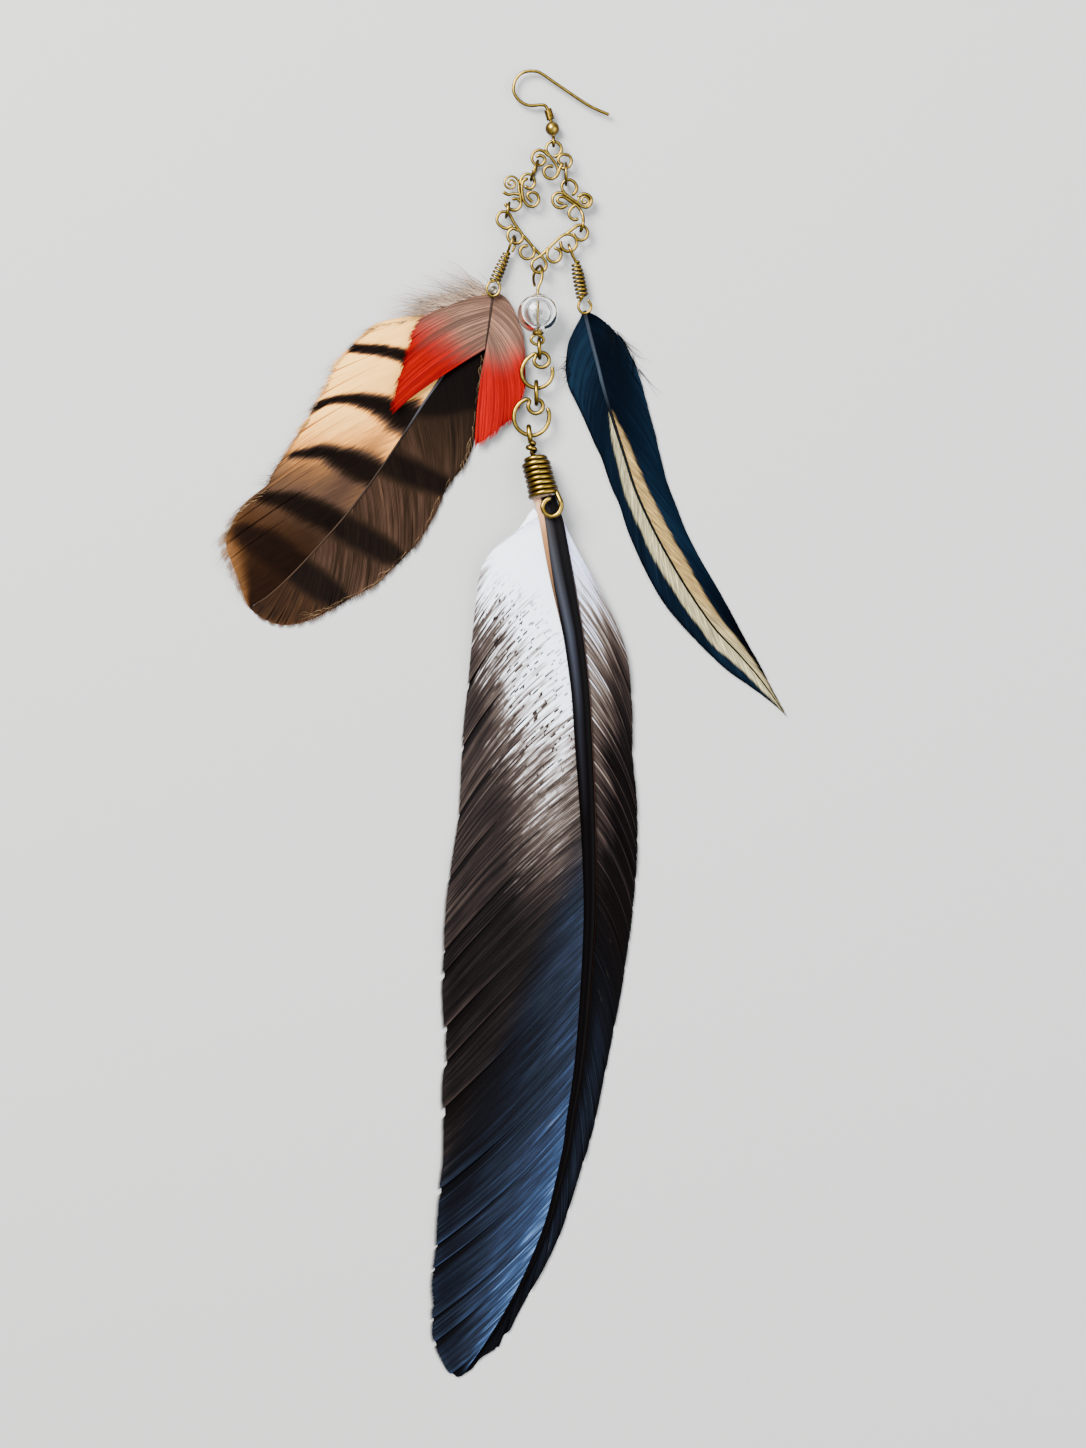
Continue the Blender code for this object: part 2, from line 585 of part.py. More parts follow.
def banded_feather():
    shaft = [
        (-4.78, 81.48, 0.30, 0.28, 0.0), (-10.37, 72.69, 0.30, 0.28, 0.0),
        (-15.97, 64.31, 0.28, 0.28, 0.0), (-21.56, 55.52, 0.27, 0.27, 0.0),
        (-27.15, 47.53, 0.26, 0.26, 0.0), (-33.94, 39.14, 0.24, 0.24, 0.0),
        (-41.13, 31.35, 0.20, 0.22, 0.0), (-46.72, 25.96, 0.16, 0.20, 0.0),
        (-49.72, 23.57, 0.12, 0.18, 0.0),
    ]
    left = [
        (-20.36, 81.28, 0.35, 0.02), (-31.74, 74.69, 0.40, 0.06), (-37.13, 65.70, 0.45, 0.07),
        (-42.73, 56.32, 0.50, 0.08), (-48.32, 47.13, 0.50, 0.08), (-54.31, 41.54, 0.50, 0.09),
        (-56.51, 35.75, 0.45, 0.09), (-54.51, 29.36, 0.40, 0.06), (-50.91, 23.47, 0.35, 0.0),
    ]
    right = [
        (-3.38, 77.49, 0.35, 0.02), (-3.78, 67.10, 0.35, 0.05), (-5.98, 55.52, 0.40, 0.07),
        (-9.97, 47.93, 0.45, 0.08), (-15.97, 37.55, 0.45, 0.08), (-23.55, 29.36, 0.45, 0.08),
        (-33.94, 22.77, 0.45, 0.08), (-43.92, 19.37, 0.40, 0.06), (-49.32, 22.07, 0.35, 0.0),
    ]
    quill = [
        (-1.34, 89.62, 1.38, 0.40), (-1.82, 88.02, 1.36, 0.42), (-2.46, 86.27, 1, 0.50),
        (-3.19, 84.51, 0.7, 0.56), (-4.39, 82.35, 0.4, 0.56), (-5.59, 80.36, 0.34, 0.5),
    ]
    feather("banded_feather", "barred_feather", shaft, left, right, 18, 0.30, quill)


def red_feather():
    shaft = [
        (-2.27, 84.88, 0.26, 0.20, 1.42), (-2.58, 82.28, 0.25, 0.20, 1.36),
        (-2.98, 79.48, 0.23, 0.18, 1.34), (-3.38, 77.09, 0.20, 0.16, 1.34),
        (-3.66, 75.29, 0.16, 0.14, 1.34),
    ]
    left = [
        (-22.66, 65.30, 1.50, 0.25), (-22.46, 64.31, 1.52, 0.20), (-22.16, 63.31, 1.54, 0.14),
        (-21.86, 62.61, 1.54, 0.09), (-21.36, 62.31, 1.52, 0.03),
    ]
    right = [
        (-0.79, 58.71, 1.50, 0.23), (-2.39, 57.32, 1.52, 0.20), (-3.98, 56.12, 1.54, 0.16),
        (-5.18, 55.32, 1.54, 0.11), (-5.66, 55.12, 1.52, 0.05),
    ]
    quill = [
        (-1.33, 89.55, 1.94, 0.32), (-1.77, 87.86, 1.9, 0.34), (-2.10, 86.19, 1.68, 0.38),
        (-2.30, 84.20, 1.6, 0.38), (-2.58, 81.82, 1.54, 0.34),
    ]
    feather("red_feather", "red_feather", shaft, left, right, 8, 0.22, quill)


def blue_feather():
    shaft = [
        (16.47, 80.68, 0.36, 0.40, 0.0), (17.69, 75.69, 0.36, 0.38, 0.0),
        (19.18, 70.10, 0.34, 0.36, 0.0), (20.98, 63.11, 0.32, 0.34, 0.0),
        (23.58, 55.32, 0.30, 0.32, 0.0), (27.17, 44.73, 0.28, 0.30, 0.0),
        (31.96, 34.95, 0.25, 0.28, 0.0), (38.16, 24.56, 0.22, 0.26, 0.0),
        (46.74, 13.98, 0.18, 0.22, 0.0), (55.73, 2.60, 0.12, 0.18, 0.0),
    ]
    left = [
        (12.59, 74.69, 0.50, 0.10), (12.39, 69.10, 0.45, 0.12), (14.39, 63.91, 0.40, 0.10),
        (17.79, 56.32, 0.40, 0.08), (20.98, 48.33, 0.40, 0.08), (25.17, 37.35, 0.40, 0.07),
        (30.77, 25.76, 0.40, 0.06), (38.75, 15.98, 0.35, 0.05), (49.54, 7.19, 0.35, 0.03),
        (55.93, 1.50, 0.30, 0.0),
    ]
    right = [
        (24.38, 75.49, 0.50, 0.14), (26.77, 70.10, 0.45, 0.12), (28.57, 64.31, 0.40, 0.10),
        (30.37, 57.32, 0.40, 0.08), (32.16, 50.13, 0.40, 0.08), (35.76, 40.14, 0.40, 0.07),
        (41.75, 28.76, 0.40, 0.05), (47.54, 18.37, 0.35, 0.04), (53.33, 7.59, 0.35, 0.02),
        (56.63, 2.00, 0.30, 0.0),
    ]
    quill = [
        (15.06, 88.40, 1.55, 0.64), (15.66, 85.41, 1.5, 0.68), (16.07, 83.46, 1.15, 0.72),
        (16.35, 81.51, 0.75, 0.74), (16.71, 79.54, 0.5, 0.70),
    ]
    feather("blue_feather", "blue_feather", shaft, left, right, 18, 0.30, quill)


for leftover in list(bpy.data.objects):
    bpy.data.objects.remove(leftover)

ear_hook()
top_scroll()
left_scroll()
right_scroll()
lower_frame()
connector_links()
left_tie()
left_eyelet()
right_tie()
bead_pin()
glass_bead()
bead_cap()
chain()
heavy_tie()
vulture_feather()
banded_feather()
red_feather()
blue_feather()
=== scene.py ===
# %% [markdown]
# # A vulture feather worn as an ear ornament
#
# One long vulture flight feather hangs as the middle drop of an openwork brass ear
# ornament. A barred feather with a small red one over it hangs on its left, and a
# narrow blue feather on its right. The whole thing lies flat on a pale table.
#
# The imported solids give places, sizes and the one moving joint. They could be shown as
# they are, in better colours, but their wires have few sides and their feathers have no
# barbs. So a finer surface of the same form stands in for each: round wires, a turned
# bead, and feathers grown barb by barb. Lengths are in millimetres until the last step
# of each piece, which writes metres.

import math

import bpy
import numpy as np
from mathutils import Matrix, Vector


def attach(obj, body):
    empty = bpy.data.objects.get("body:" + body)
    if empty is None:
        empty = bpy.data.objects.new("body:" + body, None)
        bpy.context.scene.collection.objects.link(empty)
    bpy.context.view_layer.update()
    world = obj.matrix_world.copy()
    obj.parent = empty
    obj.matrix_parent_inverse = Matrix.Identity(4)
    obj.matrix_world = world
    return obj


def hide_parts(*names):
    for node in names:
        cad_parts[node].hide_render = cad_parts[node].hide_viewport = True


MM = 0.001
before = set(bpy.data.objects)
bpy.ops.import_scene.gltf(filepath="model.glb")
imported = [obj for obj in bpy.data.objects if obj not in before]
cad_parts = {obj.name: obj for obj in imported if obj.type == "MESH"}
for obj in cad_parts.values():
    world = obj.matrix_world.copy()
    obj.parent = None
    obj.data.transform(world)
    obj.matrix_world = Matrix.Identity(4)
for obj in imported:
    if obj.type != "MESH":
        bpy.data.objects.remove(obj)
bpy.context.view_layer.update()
rng = np.random.default_rng(7)
print(len(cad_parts), "solids in the frame")

# %% [markdown]
# ## Curves and soft steps
#
# Wires, shafts and the outlines of feathers are all smooth curves through a few placed
# points. Blender's own curve objects could hold them, but each later step needs the
# points themselves, so they are worked out as arrays. `ease` is the soft step that
# lets one colour or shape give way to another without a line between them.

# %% Curves and steps
CUBIC_STEPS = 24


def run_of(points):
    """Distance travelled along a polyline up to each of its points."""
    return np.r_[0, np.cumsum(np.linalg.norm(np.diff(points, axis=0), axis=1))]


def at_shares(points, shares):
    """Points at the given shares of a polyline's length."""
    run = run_of(points)
    return np.stack([np.interp(shares * run[-1], run, c) for c in points.T], axis=-1)


def smooth(points, step):
    """Points one step apart on the rounded curve through the given points.

    Each stretch is the cubic whose end slopes are half the chord of its neighbours.
    """
    p = np.asarray(points, float)
    q = np.vstack([2 * p[0] - p[1], p, 2 * p[-1] - p[-2]])
    a, b, c, d = (q[i : len(q) - 3 + i, None, :] for i in range(4))
    t = np.linspace(0, 1, CUBIC_STEPS, endpoint=False)[None, :, None]
    cubic = 2 * b + (c - a) * t + (2 * a - 5 * b + 4 * c - d) * t**2
    cubic = (cubic + (3 * b - a - 3 * c + d) * t**3) / 2
    dense = np.vstack([cubic.reshape(-1, p.shape[1]), p[-1:]])
    return at_shares(dense, np.linspace(0, 1, max(2, round(run_of(dense)[-1] / step)) + 1))


def ease(low, high, x):
    """0 at low, 1 at high, held beyond them, and a level-ended cubic between them."""
    x = np.clip((x - low) / (high - low), 0, 1)
    return x * x * (3 - 2 * x)


print("ease at a quarter of the way:", ease(0, 1, 0.25))

# %% [markdown]
# ## From arrays to pieces
#
# A mesh could be grown face by face. A vane has tens of thousands of points, so here
# whole arrays of points and quads are handed over at once. Named numbers on the points
# go with them, for the materials to read: how far out on its barb a point lies, say.
# `piece` also ties each mesh to the body that it moves with, gives it its material,
# and hides the imported solids it stands in for.

# %% Pieces


def grid_quads(rows, columns, wrap_rows=False, wrap_columns=False):
    """Corner numbers of the quads of a rows by columns sheet of points."""
    i = np.arange(rows if wrap_rows else rows - 1)[:, None]
    j = np.arange(columns if wrap_columns else columns - 1)[None, :]
    i2, j2 = (i + 1) % rows, (j + 1) % columns
    corners = [i * columns + j, i * columns + j2, i2 * columns + j2, i2 * columns + j]
    return np.stack(np.broadcast_arrays(*corners), axis=-1).reshape(-1, 4)


def joined(parts):
    """Several (points, quads, fields) blocks as one."""
    starts = np.cumsum([0] + [len(p[0]) for p in parts[:-1]])
    points = np.vstack([p[0] for p in parts])
    quads = np.vstack([p[1] + start for p, start in zip(parts, starts)])
    fields = {k: np.concatenate([p[2][k] for p in parts]) for k in parts[0][2]}
    return points, quads, fields


def piece(name, parts, look, body, nodes):
    """One smooth-shaded mesh object; a field called uv becomes its UV map."""
    points, quads, fields = joined(parts)
    mesh = bpy.data.meshes.new(name)
    mesh.from_pydata((points * MM).tolist(), [], quads.tolist())
    for key, values in fields.items():
        if key == "uv":
            layer = mesh.uv_layers.new(name="barbs")
            layer.data.foreach_set("uv", values[quads.ravel()].astype(np.float32).ravel())
        else:
            made = mesh.attributes.new(key, "FLOAT", "POINT")
            made.data.foreach_set("value", values.astype(np.float32))
    mesh.shade_smooth()
    mesh.materials.append(look)
    thing = bpy.data.objects.new(name, mesh)
    bpy.context.scene.collection.objects.link(thing)
    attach(thing, body)
    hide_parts(*nodes)
    print(name, len(points), "points", 2 * len(quads), "triangles")
    return thing


# %% [markdown]
# ## Colours as they are seen
#
# A feather's browns and blues are easiest to judge on a screen, but a shader wants the
# colour of the surface. The two could be matched by trial. `light` works backwards
# instead, through the renderer's tone curve and the strength of the lamps, so that a
# colour can be given as it should show.

# %% Screen colours
SCREEN = [
    0, 3, 6, 15, 26, 43, 64, 95, 118, 136, 153, 169, 184, 196, 207, 217, 227, 233, 240, 251,
]
GLOW = [
    1e-4, 0.002, 0.004, 0.008, 0.015, 0.03, 0.06, 0.12, 0.18, 0.25, 0.35, 0.5, 0.7, 1, 1.4,
    2, 3, 4, 6, 12,
]
MIX_IN = [[0.613, 0.298, 0.089], [0.112, 0.778, 0.110], [0.090, 0.185, 0.725]]
MIX_OUT = [[1.694, -0.543, -0.151], [-0.191, 1.230, -0.039], [-0.168, -0.290, 1.458]]
LAMP_LEVEL = 4.3
BRIGHTEST, DARKEST = 0.92, 0.0004
FULL = 255


def unbent(c):
    """Screen values (0 to 1) with the screen's own curve taken off.

    Dark values are divided by 12.92; the rest are ((c + 0.055) / 1.055) to the 2.4.
    """
    return np.where(c <= 0.04045, c / 12.92, ((c + 0.055) / 1.055) ** 2.4)


def light(*rgb):
    """The surface colour that shows as a screen colour (0 to 255) under the lamps.

    The renderer mixes the channels, bends each by a curve and mixes them again. Here
    the steps run backwards; SCREEN and GLOW pair greys on the screen with greys of light.
    """
    mixed = np.linalg.solve(MIX_OUT, unbent(np.array(rgb) / FULL))
    glow = np.exp(np.interp(mixed, unbent(np.array(SCREEN) / FULL), np.log(GLOW)))
    colour = np.linalg.solve(MIX_IN, glow) / LAMP_LEVEL
    shown = np.maximum(colour * min(1, BRIGHTEST / colour.max()), DARKEST)
    return (*shown.tolist(), 1.0)


def plain(*rgb):
    """A surface colour given directly, as for metal."""
    return (*rgb, 1.0)


print("screen white needs a surface of", round(light(255, 255, 255)[0], 3))

# %% [markdown]
# ## Recipes for materials
#
# Each finish is a recipe: a field of the points or a noise, a little arithmetic, and a
# row of colours that the result picks from. The nodes could be wired by hand in the
# shader editor. Short helpers are used here because sixteen materials share the same
# few steps, and because a recipe then reads as one line.
#
# These first helpers make a material, join one node to another, and read a field or a
# noise. A noise runs either through space or along and across the barbs.

# %% Materials, fields and noise


def new_material(name, roughness, **settings):
    """A node material and its Principled shader, with plain settings on its sockets."""
    made = bpy.data.materials.new(name)
    made.use_nodes = True
    shader = made.node_tree.nodes["Principled BSDF"]
    shader.inputs["Roughness"].default_value = roughness
    for socket, value in settings.items():
        shader.inputs[socket.replace("_", " ")].default_value = value
    return made, shader


def feed(socket, value):
    """Joins another node's output to a socket, or sets the socket to a constant."""
    if isinstance(value, bpy.types.NodeSocket):
        socket.id_data.links.new(value, socket)
    else:
        socket.default_value = value


def field(made, name):
    """A named field of the points, as a number."""
    reader = made.node_tree.nodes.new("ShaderNodeAttribute")
    reader.attribute_name = name
    return reader.outputs["Fac"]


def noise(made, stretch, detail=3.0, on_barbs=False):
    """Noise from 0 to 1 in object space, or along and across the barbs of a vane."""
    tree = made.node_tree
    where = tree.nodes.new("ShaderNodeUVMap" if on_barbs else "ShaderNodeTexCoord")
    if on_barbs:
        where.uv_map = "barbs"
    scale = tree.nodes.new("ShaderNodeMapping")
    scale.inputs["Scale"].default_value = stretch
    grain = tree.nodes.new("ShaderNodeTexNoise")
    grain.inputs["Scale"].default_value = 1.0
    grain.inputs["Detail"].default_value = detail
    feed(scale.inputs["Vector"], where.outputs["UV" if on_barbs else "Object"])
    feed(grain.inputs["Vector"], scale.outputs["Vector"])
    return grain.outputs["Fac"]


print("materials so far:", len(bpy.data.materials))

# %% [markdown]
# The other helpers are the arithmetic and the colours. `ramp` turns a value into a
# colour, `blend` mixes two colours, and the words `plus`, `minus` and `times` stand
# for one small math node each. The node tree is found from the value that comes in.

# %% Ramps and sums


def ramp(source, stops, read=light):
    """Colours placed along the source value: rows of place, red, green, blue."""
    node = source.id_data.nodes.new("ShaderNodeValToRGB")
    node.color_ramp.elements.remove(node.color_ramp.elements[1])
    for k, (place, *rgb) in enumerate(stops):
        spot = node.color_ramp.elements[0] if k == 0 else node.color_ramp.elements.new(place)
        spot.position = place
        spot.color = read(*rgb)
    feed(node.inputs["Fac"], source)
    return node.outputs["Color"]


def blend(share, first, second):
    """Two colours mixed by a share."""
    node = share.id_data.nodes.new("ShaderNodeMix")
    node.data_type = "RGBA"
    for socket, value in ((0, share), (6, first), (7, second)):
        feed(node.inputs[socket], value)
    return node.outputs[2]


def reckon(kind, first, second=0.0):
    """Arithmetic on two values, one of which is another node's output."""
    known = first if isinstance(first, bpy.types.NodeSocket) else second
    node = known.id_data.nodes.new("ShaderNodeMath")
    node.operation = kind
    feed(node.inputs[0], first)
    feed(node.inputs[1], second)
    return node.outputs[0]


def plus(first, second):
    """Their sum."""
    return reckon("ADD", first, second)


def minus(first, second):
    """The first less the second."""
    return reckon("SUBTRACT", first, second)


def times(first, second):
    """Their product."""
    return reckon("MULTIPLY", first, second)


def at_most(first, second):
    """The smaller of the two."""
    return reckon("MINIMUM", first, second)


def paint(shader, colour):
    """Joins a colour to the shader."""
    feed(shader.inputs["Base Color"], colour)


print("grey 128 is stored as", [round(c, 3) for c in light(128, 128, 128)])

# %% [markdown]
# ## Antique brass
#
# Every metal part but one small stud is brass with a brown patina. On the real piece
# handling has rubbed the crown of each wire bright, and its flanks and the grooves
# between turns stay dark. Here one field, worked out with the points of each wire, runs
# from 0 under the wire to 1 on top of it. The ramp turns it into a painted highlight
# along the top and painted shade down the flanks and underside, which stand also for
# that wear and patina. Blender can find high spots with a pointiness or occlusion node;
# here the field comes from the wire's own shape.

# %% Brass
PATINA_GRAIN = 900


def metal_look(name, stops):
    """Painted shade to highlight, and patina to polish: the up-facing field + 0.12 (grain - 1/2)
    on a ramp.

    Roughness is 0.25 + 0.10 grain.
    """
    made, shader = new_material(name, 0.28, Metallic=1.0)
    grain = noise(made, (PATINA_GRAIN, PATINA_GRAIN, PATINA_GRAIN))
    # Painted light: the metal is brightest on top of each wire and darkest on its flanks and
    # underside, mixed with the patina's grain.
    light_and_wear = plus(field(made, "top_light_and_wear"), times(minus(grain, 0.5), 0.12))
    paint(shader, ramp(light_and_wear, stops, plain))
    feed(shader.inputs["Roughness"], plus(times(grain, 0.10), 0.25))
    return made


brass = metal_look("antique_brass", [
    (0.5, 0.009, 0.005, 0.001), (0.74, 0.035, 0.018, 0.002), (0.88, 0.10, 0.055, 0.006),
    (0.96, 0.21, 0.128, 0.016), (1.0, 0.40, 0.275, 0.055),
])
print(brass.name, "made of", len(brass.node_tree.nodes), "nodes")

# %% [markdown]
# ## Round wires
#
# Hook, scrolls, rings and ties are all round wire. A Blender curve with a round bevel
# would draw them, but its mesh carries no up-facing field for the painted light, so a
# wire is worked out here as a circle carried along a smooth path. The circle's frame
# starts from one fixed direction at every point. A running sum of the small twists
# between neighbours then turns it back, so that the surface never corkscrews.

# %% Wires
NEARLY_UP = np.array([0.012, 0.017, 1.0])
END_ROUNDING = np.array([0.0, 0.3, 0.62, 0.86])


def rounded_ends(p, radius):
    """The path and radius with a small dome at both ends.

    Where the dome is k radii wide, it stands sqrt(1 - k k) radii beyond the end.
    """
    tangent = np.gradient(p, axis=0)
    drop = np.sqrt(1 - END_ROUNDING[:, None] ** 2)
    head = p[0] - tangent[0] / np.linalg.norm(tangent[0]) * radius[0] * drop
    tail = p[-1] + tangent[-1] / np.linalg.norm(tangent[-1]) * radius[-1] * drop
    ends = END_ROUNDING * radius[0], END_ROUNDING[::-1] * radius[-1]
    return np.vstack([head, p, tail[::-1]]), np.r_[ends[0], radius, ends[1]]


def wire(path, diameter, sides=14, closed=False, flatten=1.0):
    """A round wire: centre + radius (cos a across + sin a up), with rounded ends.

    Across and up stand square to the path and are carried along it without twist.
    """
    p = np.asarray(path, float)
    radius = np.broadcast_to(np.asarray(diameter, float) / 2, len(p)).copy()
    if closed:
        tangent = np.roll(p, -1, axis=0) - np.roll(p, 1, axis=0)
    else:
        p, radius = rounded_ends(p, radius)
        tangent = np.gradient(p, axis=0)
    tangent /= np.linalg.norm(tangent, axis=1)[:, None]
    normal = NEARLY_UP - (tangent @ NEARLY_UP)[:, None] * tangent
    normal /= np.linalg.norm(normal, axis=1)[:, None]
    carried = normal[:-1] - (normal[:-1] * tangent[1:]).sum(1)[:, None] * tangent[1:]
    binormal = np.cross(tangent[1:], normal[1:])
    twist = np.arctan2((carried * binormal).sum(1), (carried * normal[1:]).sum(1))
    twist = np.r_[0, np.cumsum(twist)][:, None]
    up = normal * np.cos(twist) + np.cross(tangent, normal) * np.sin(twist)
    across = np.cross(tangent, up)
    a = 2 * np.pi * np.arange(sides) / sides
    ring = np.cos(a)[None, :, None] * across[:, None]
    ring = ring + np.sin(a)[None, :, None] * up[:, None] * flatten
    points = p[:, None] + ring * radius[:, None, None]
    # Up-facing share of each point: the metal ramps paint a highlight on top and shade below,
    # standing also for the rubbed crown and patina.
    top_light_and_wear = np.clip(ring[..., 2] * 0.5 + 0.5, 0, 1)
    quads = grid_quads(len(p), sides, wrap_rows=closed, wrap_columns=True)
    return points.reshape(-1, 3), quads, {"top_light_and_wear": top_light_and_wear.ravel()}


print("a straight wire of 1 mm has", len(wire([(0, 0, 0), (5, 0, 0)], 1.0)[0]), "points")

# %% [markdown]
# The paths that wires follow come in four kinds. A flat row of points lies at one
# height. A coil winds about a line, as the maker winds it on a rod. A jump ring on
# edge is a circle in an upright plane, and the end of a scroll is a flat spiral.

# %% Paths for wires


def flat(points, height):
    """Points laid at one height."""
    return [(x, y, height) for x, y in points]


def coil(start, end, radii, turns, phase, steps=28):
    """A wire's centre line wound about the line from start to end.

    It is start + s (end - start) + radius (cos a side + sin a up), with a growing by
    one full circle for each turn; phase 0 is left, 90 towards the viewer.
    """
    start, end = np.asarray(start, float), np.asarray(end, float)
    axis = (end - start) / np.linalg.norm(end - start)
    side = np.cross(axis, (0.0, 0.0, 1.0))
    side /= np.linalg.norm(side)
    up = np.cross(side, axis)
    s = np.linspace(0, 1, int(turns * steps) + 1)
    a = np.radians(phase) + 2 * np.pi * turns * s
    radius = np.interp(s, np.linspace(0, 1, len(radii)), radii)
    ring = np.cos(a)[:, None] * side + np.sin(a)[:, None] * up
    return start + s[:, None] * (end - start) + radius[:, None] * ring


def edge_ring(centre, height, heading, radius, diameter):
    """A jump ring on edge: centre + radius (cos a heading + sin a up), drawn as a wire."""
    a = np.linspace(0, 2 * np.pi, 48, endpoint=False)
    way = np.array([math.cos(math.radians(heading)), math.sin(math.radians(heading))])
    plan = np.asarray(centre) + radius * np.cos(a)[:, None] * way
    return wire(np.column_stack([plan, height + radius * np.sin(a)]), diameter, closed=True)


def spiral(centre, outer, inner, start, turns):
    """A flat spiral: centre + r (cos a, sin a), with r falling evenly as a grows."""
    s = np.linspace(0, 1, int(turns * 14) + 1)
    a = np.radians(start) + 2 * np.pi * turns * s
    r = outer + (inner - outer) * s
    return np.column_stack([centre[0] + r * np.cos(a), centre[1] + r * np.sin(a)]).tolist()


print("a coil of 8 turns has", len(coil((0, 0, 0), (9, 0, 0), (1, 1), 8, 90)), "points")

# %% [markdown]
# Ball, bead, bead cap and stud were turned or rolled round. Each could be a sphere or
# cylinder cut about, but a profile swung about its axis gives the bore, the lip and
# the skin in one closed surface. `metal` then puts any of these in place of its
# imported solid, and `cast` draws a connector, whose wires swell where they curl.

# %% Turned forms and placing
FRAME_HEIGHT = 2.2
CAST_THIN, CAST_SWELL, CAST_SLIM = 0.64, 0.10, 0.48
WIRE_STEP, CAST_STEP = 0.3, 0.28


def turned(profile, start, direction, sides=48):
    """A lathe form: a closed row of (distance, radius) pairs turned about an axis.

    A point is start + distance axis + radius (cos a side + sin a up).
    """
    axis = np.asarray(direction, float) / np.linalg.norm(direction)
    side = np.cross(axis, (0.0, 0.0, 1.0))
    side /= np.linalg.norm(side)
    up = np.cross(side, axis)
    a = 2 * np.pi * np.arange(sides) / sides
    around = np.cos(a)[:, None] * side + np.sin(a)[:, None] * up
    d, r = np.asarray(profile, float).T
    points = start + axis * d[:, None, None] + around * r[:, None, None]
    # Up-facing share of each point: the metal ramps paint a highlight on top and shade below,
    # standing also for the rubbed crown and patina.
    top_light_and_wear = np.clip(around[..., 2] * 0.5 + 0.5, 0, 1) * np.ones((len(d), 1))
    quads = grid_quads(len(d), sides, wrap_rows=True, wrap_columns=True)
    return points.reshape(-1, 3), quads, {"top_light_and_wear": top_light_and_wear.ravel()}


def skin(radius, bore, steps):
    """The outside of a bored ball: (radius sin a, radius cos a) from rim to rim."""
    rim = math.acos(bore / radius)
    return [(radius * math.sin(a), radius * math.cos(a)) for a in np.linspace(-rim, rim, steps)]


def metal(node, parts, body="pendant", look=brass):
    """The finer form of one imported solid."""
    return piece(node + "_fine", parts, look, body, [node])


def cast(node, scrolls, *rising, slim=()):
    """An openwork connector: flat scrolls, and any wire that rises from them.

    A wire's diameter is thin + swell (1 - sin pi s) at share s of its length. slim
    tells, scroll by scroll, how many millimetres at its start are thinner.
    """
    paths = [smooth(flat(s, FRAME_HEIGHT), CAST_STEP) for s in scrolls]
    paths += [smooth(r, CAST_STEP) for r in rising]
    bulges = [1 - np.sin(np.pi * np.linspace(0, 1, len(p))) for p in paths]
    swell = [CAST_THIN + CAST_SWELL * bulge for bulge in bulges]
    for k, fine in enumerate(slim):
        full = ease(0.75 * fine, fine + 0.01, run_of(paths[k]))
        swell[k] = CAST_SLIM + (swell[k] - CAST_SLIM) * full
    return metal(node, [wire(p, d, sides=12) for p, d in zip(paths, swell)])


print("castings lie", FRAME_HEIGHT, "mm up")

# %% [markdown]
# ## The ear hook
#
# The hook is one springy wire: a straight tail, the bend that goes through the ear, a
# shank, and an eye at the bottom that is closed through the loop of the top connector.
# A fine wire is wound round the shank above a bored ball.
#
# A straight cylinder could be bent into shape with a modifier, but that squashes its
# section in the tight eye. One path with the section carried along it stays round. The
# winding is a helix, and the ball is turned. The three turn together on the one joint,
# so they ride the body called hook.

# %% Ear hook
HOOK_HEIGHT = 1.5
BALL_RADIUS, BALL_BORE = 1.42, 0.42
bend = flat([
    (20.77, 121.67), (18.64, 122.59), (16.82, 123.51), (14.78, 124.83), (12.53, 126.36),
    (10.29, 127.88), (8.26, 129.32), (6.84, 130.13), (5.60, 130.29), (4.39, 130.19),
    (3.17, 129.62), (2.25, 128.40), (1.91, 126.96), (2.05, 125.94), (2.77, 124.73),
    (3.99, 123.81), (5.41, 123.41), (7.00, 123.53), (8.04, 123.49), (8.56, 123.01),
], HOOK_HEIGHT)
shank = flat([(8.92, 122.05), (9.32, 120.65), (9.66, 118.82), (9.84, 117.58)], HOOK_HEIGHT)
eye = [
    (9.90, 116.88, 1.4), (9.90, 116.28, 1.3), (9.90, 115.59, 1.6), (9.89, 115.23, 2.2),
    (9.89, 115.39, 2.8), (9.89, 115.97, 3.1), (9.89, 116.65, 2.85), (9.89, 116.94, 2.35),
]
metal("ear_wire", [wire(smooth(bend + shank + eye, WIRE_STEP), 0.68)], "hook")
wound = coil((8.76, 122.61, HOOK_HEIGHT), (9.32, 120.65, HOOK_HEIGHT), (0.66, 0.66), 8, 90)
metal("hook_coil", [wire(wound, 0.34, sides=10)], "hook")
ball = turned(skin(BALL_RADIUS, BALL_BORE, 28), (9.66, 118.82, HOOK_HEIGHT), (0.16, -1.0, 0.0))
metal("hook_ball", [ball], "hook")

# %% [markdown]
# ## The four openwork connectors
#
# Four small castings with curled ends make the diamond below the hook. A casting could
# be one flat plate with its openings cut out, but these are round in section, as if
# bent from wire, and a plate would lose the glint along each curl. So each connector
# is a set of wires that run into each other.
#
# The top one has the loop that the hook's eye hangs in, a long S from it down to a
# lower curl, one curl to either side, and a short strut.

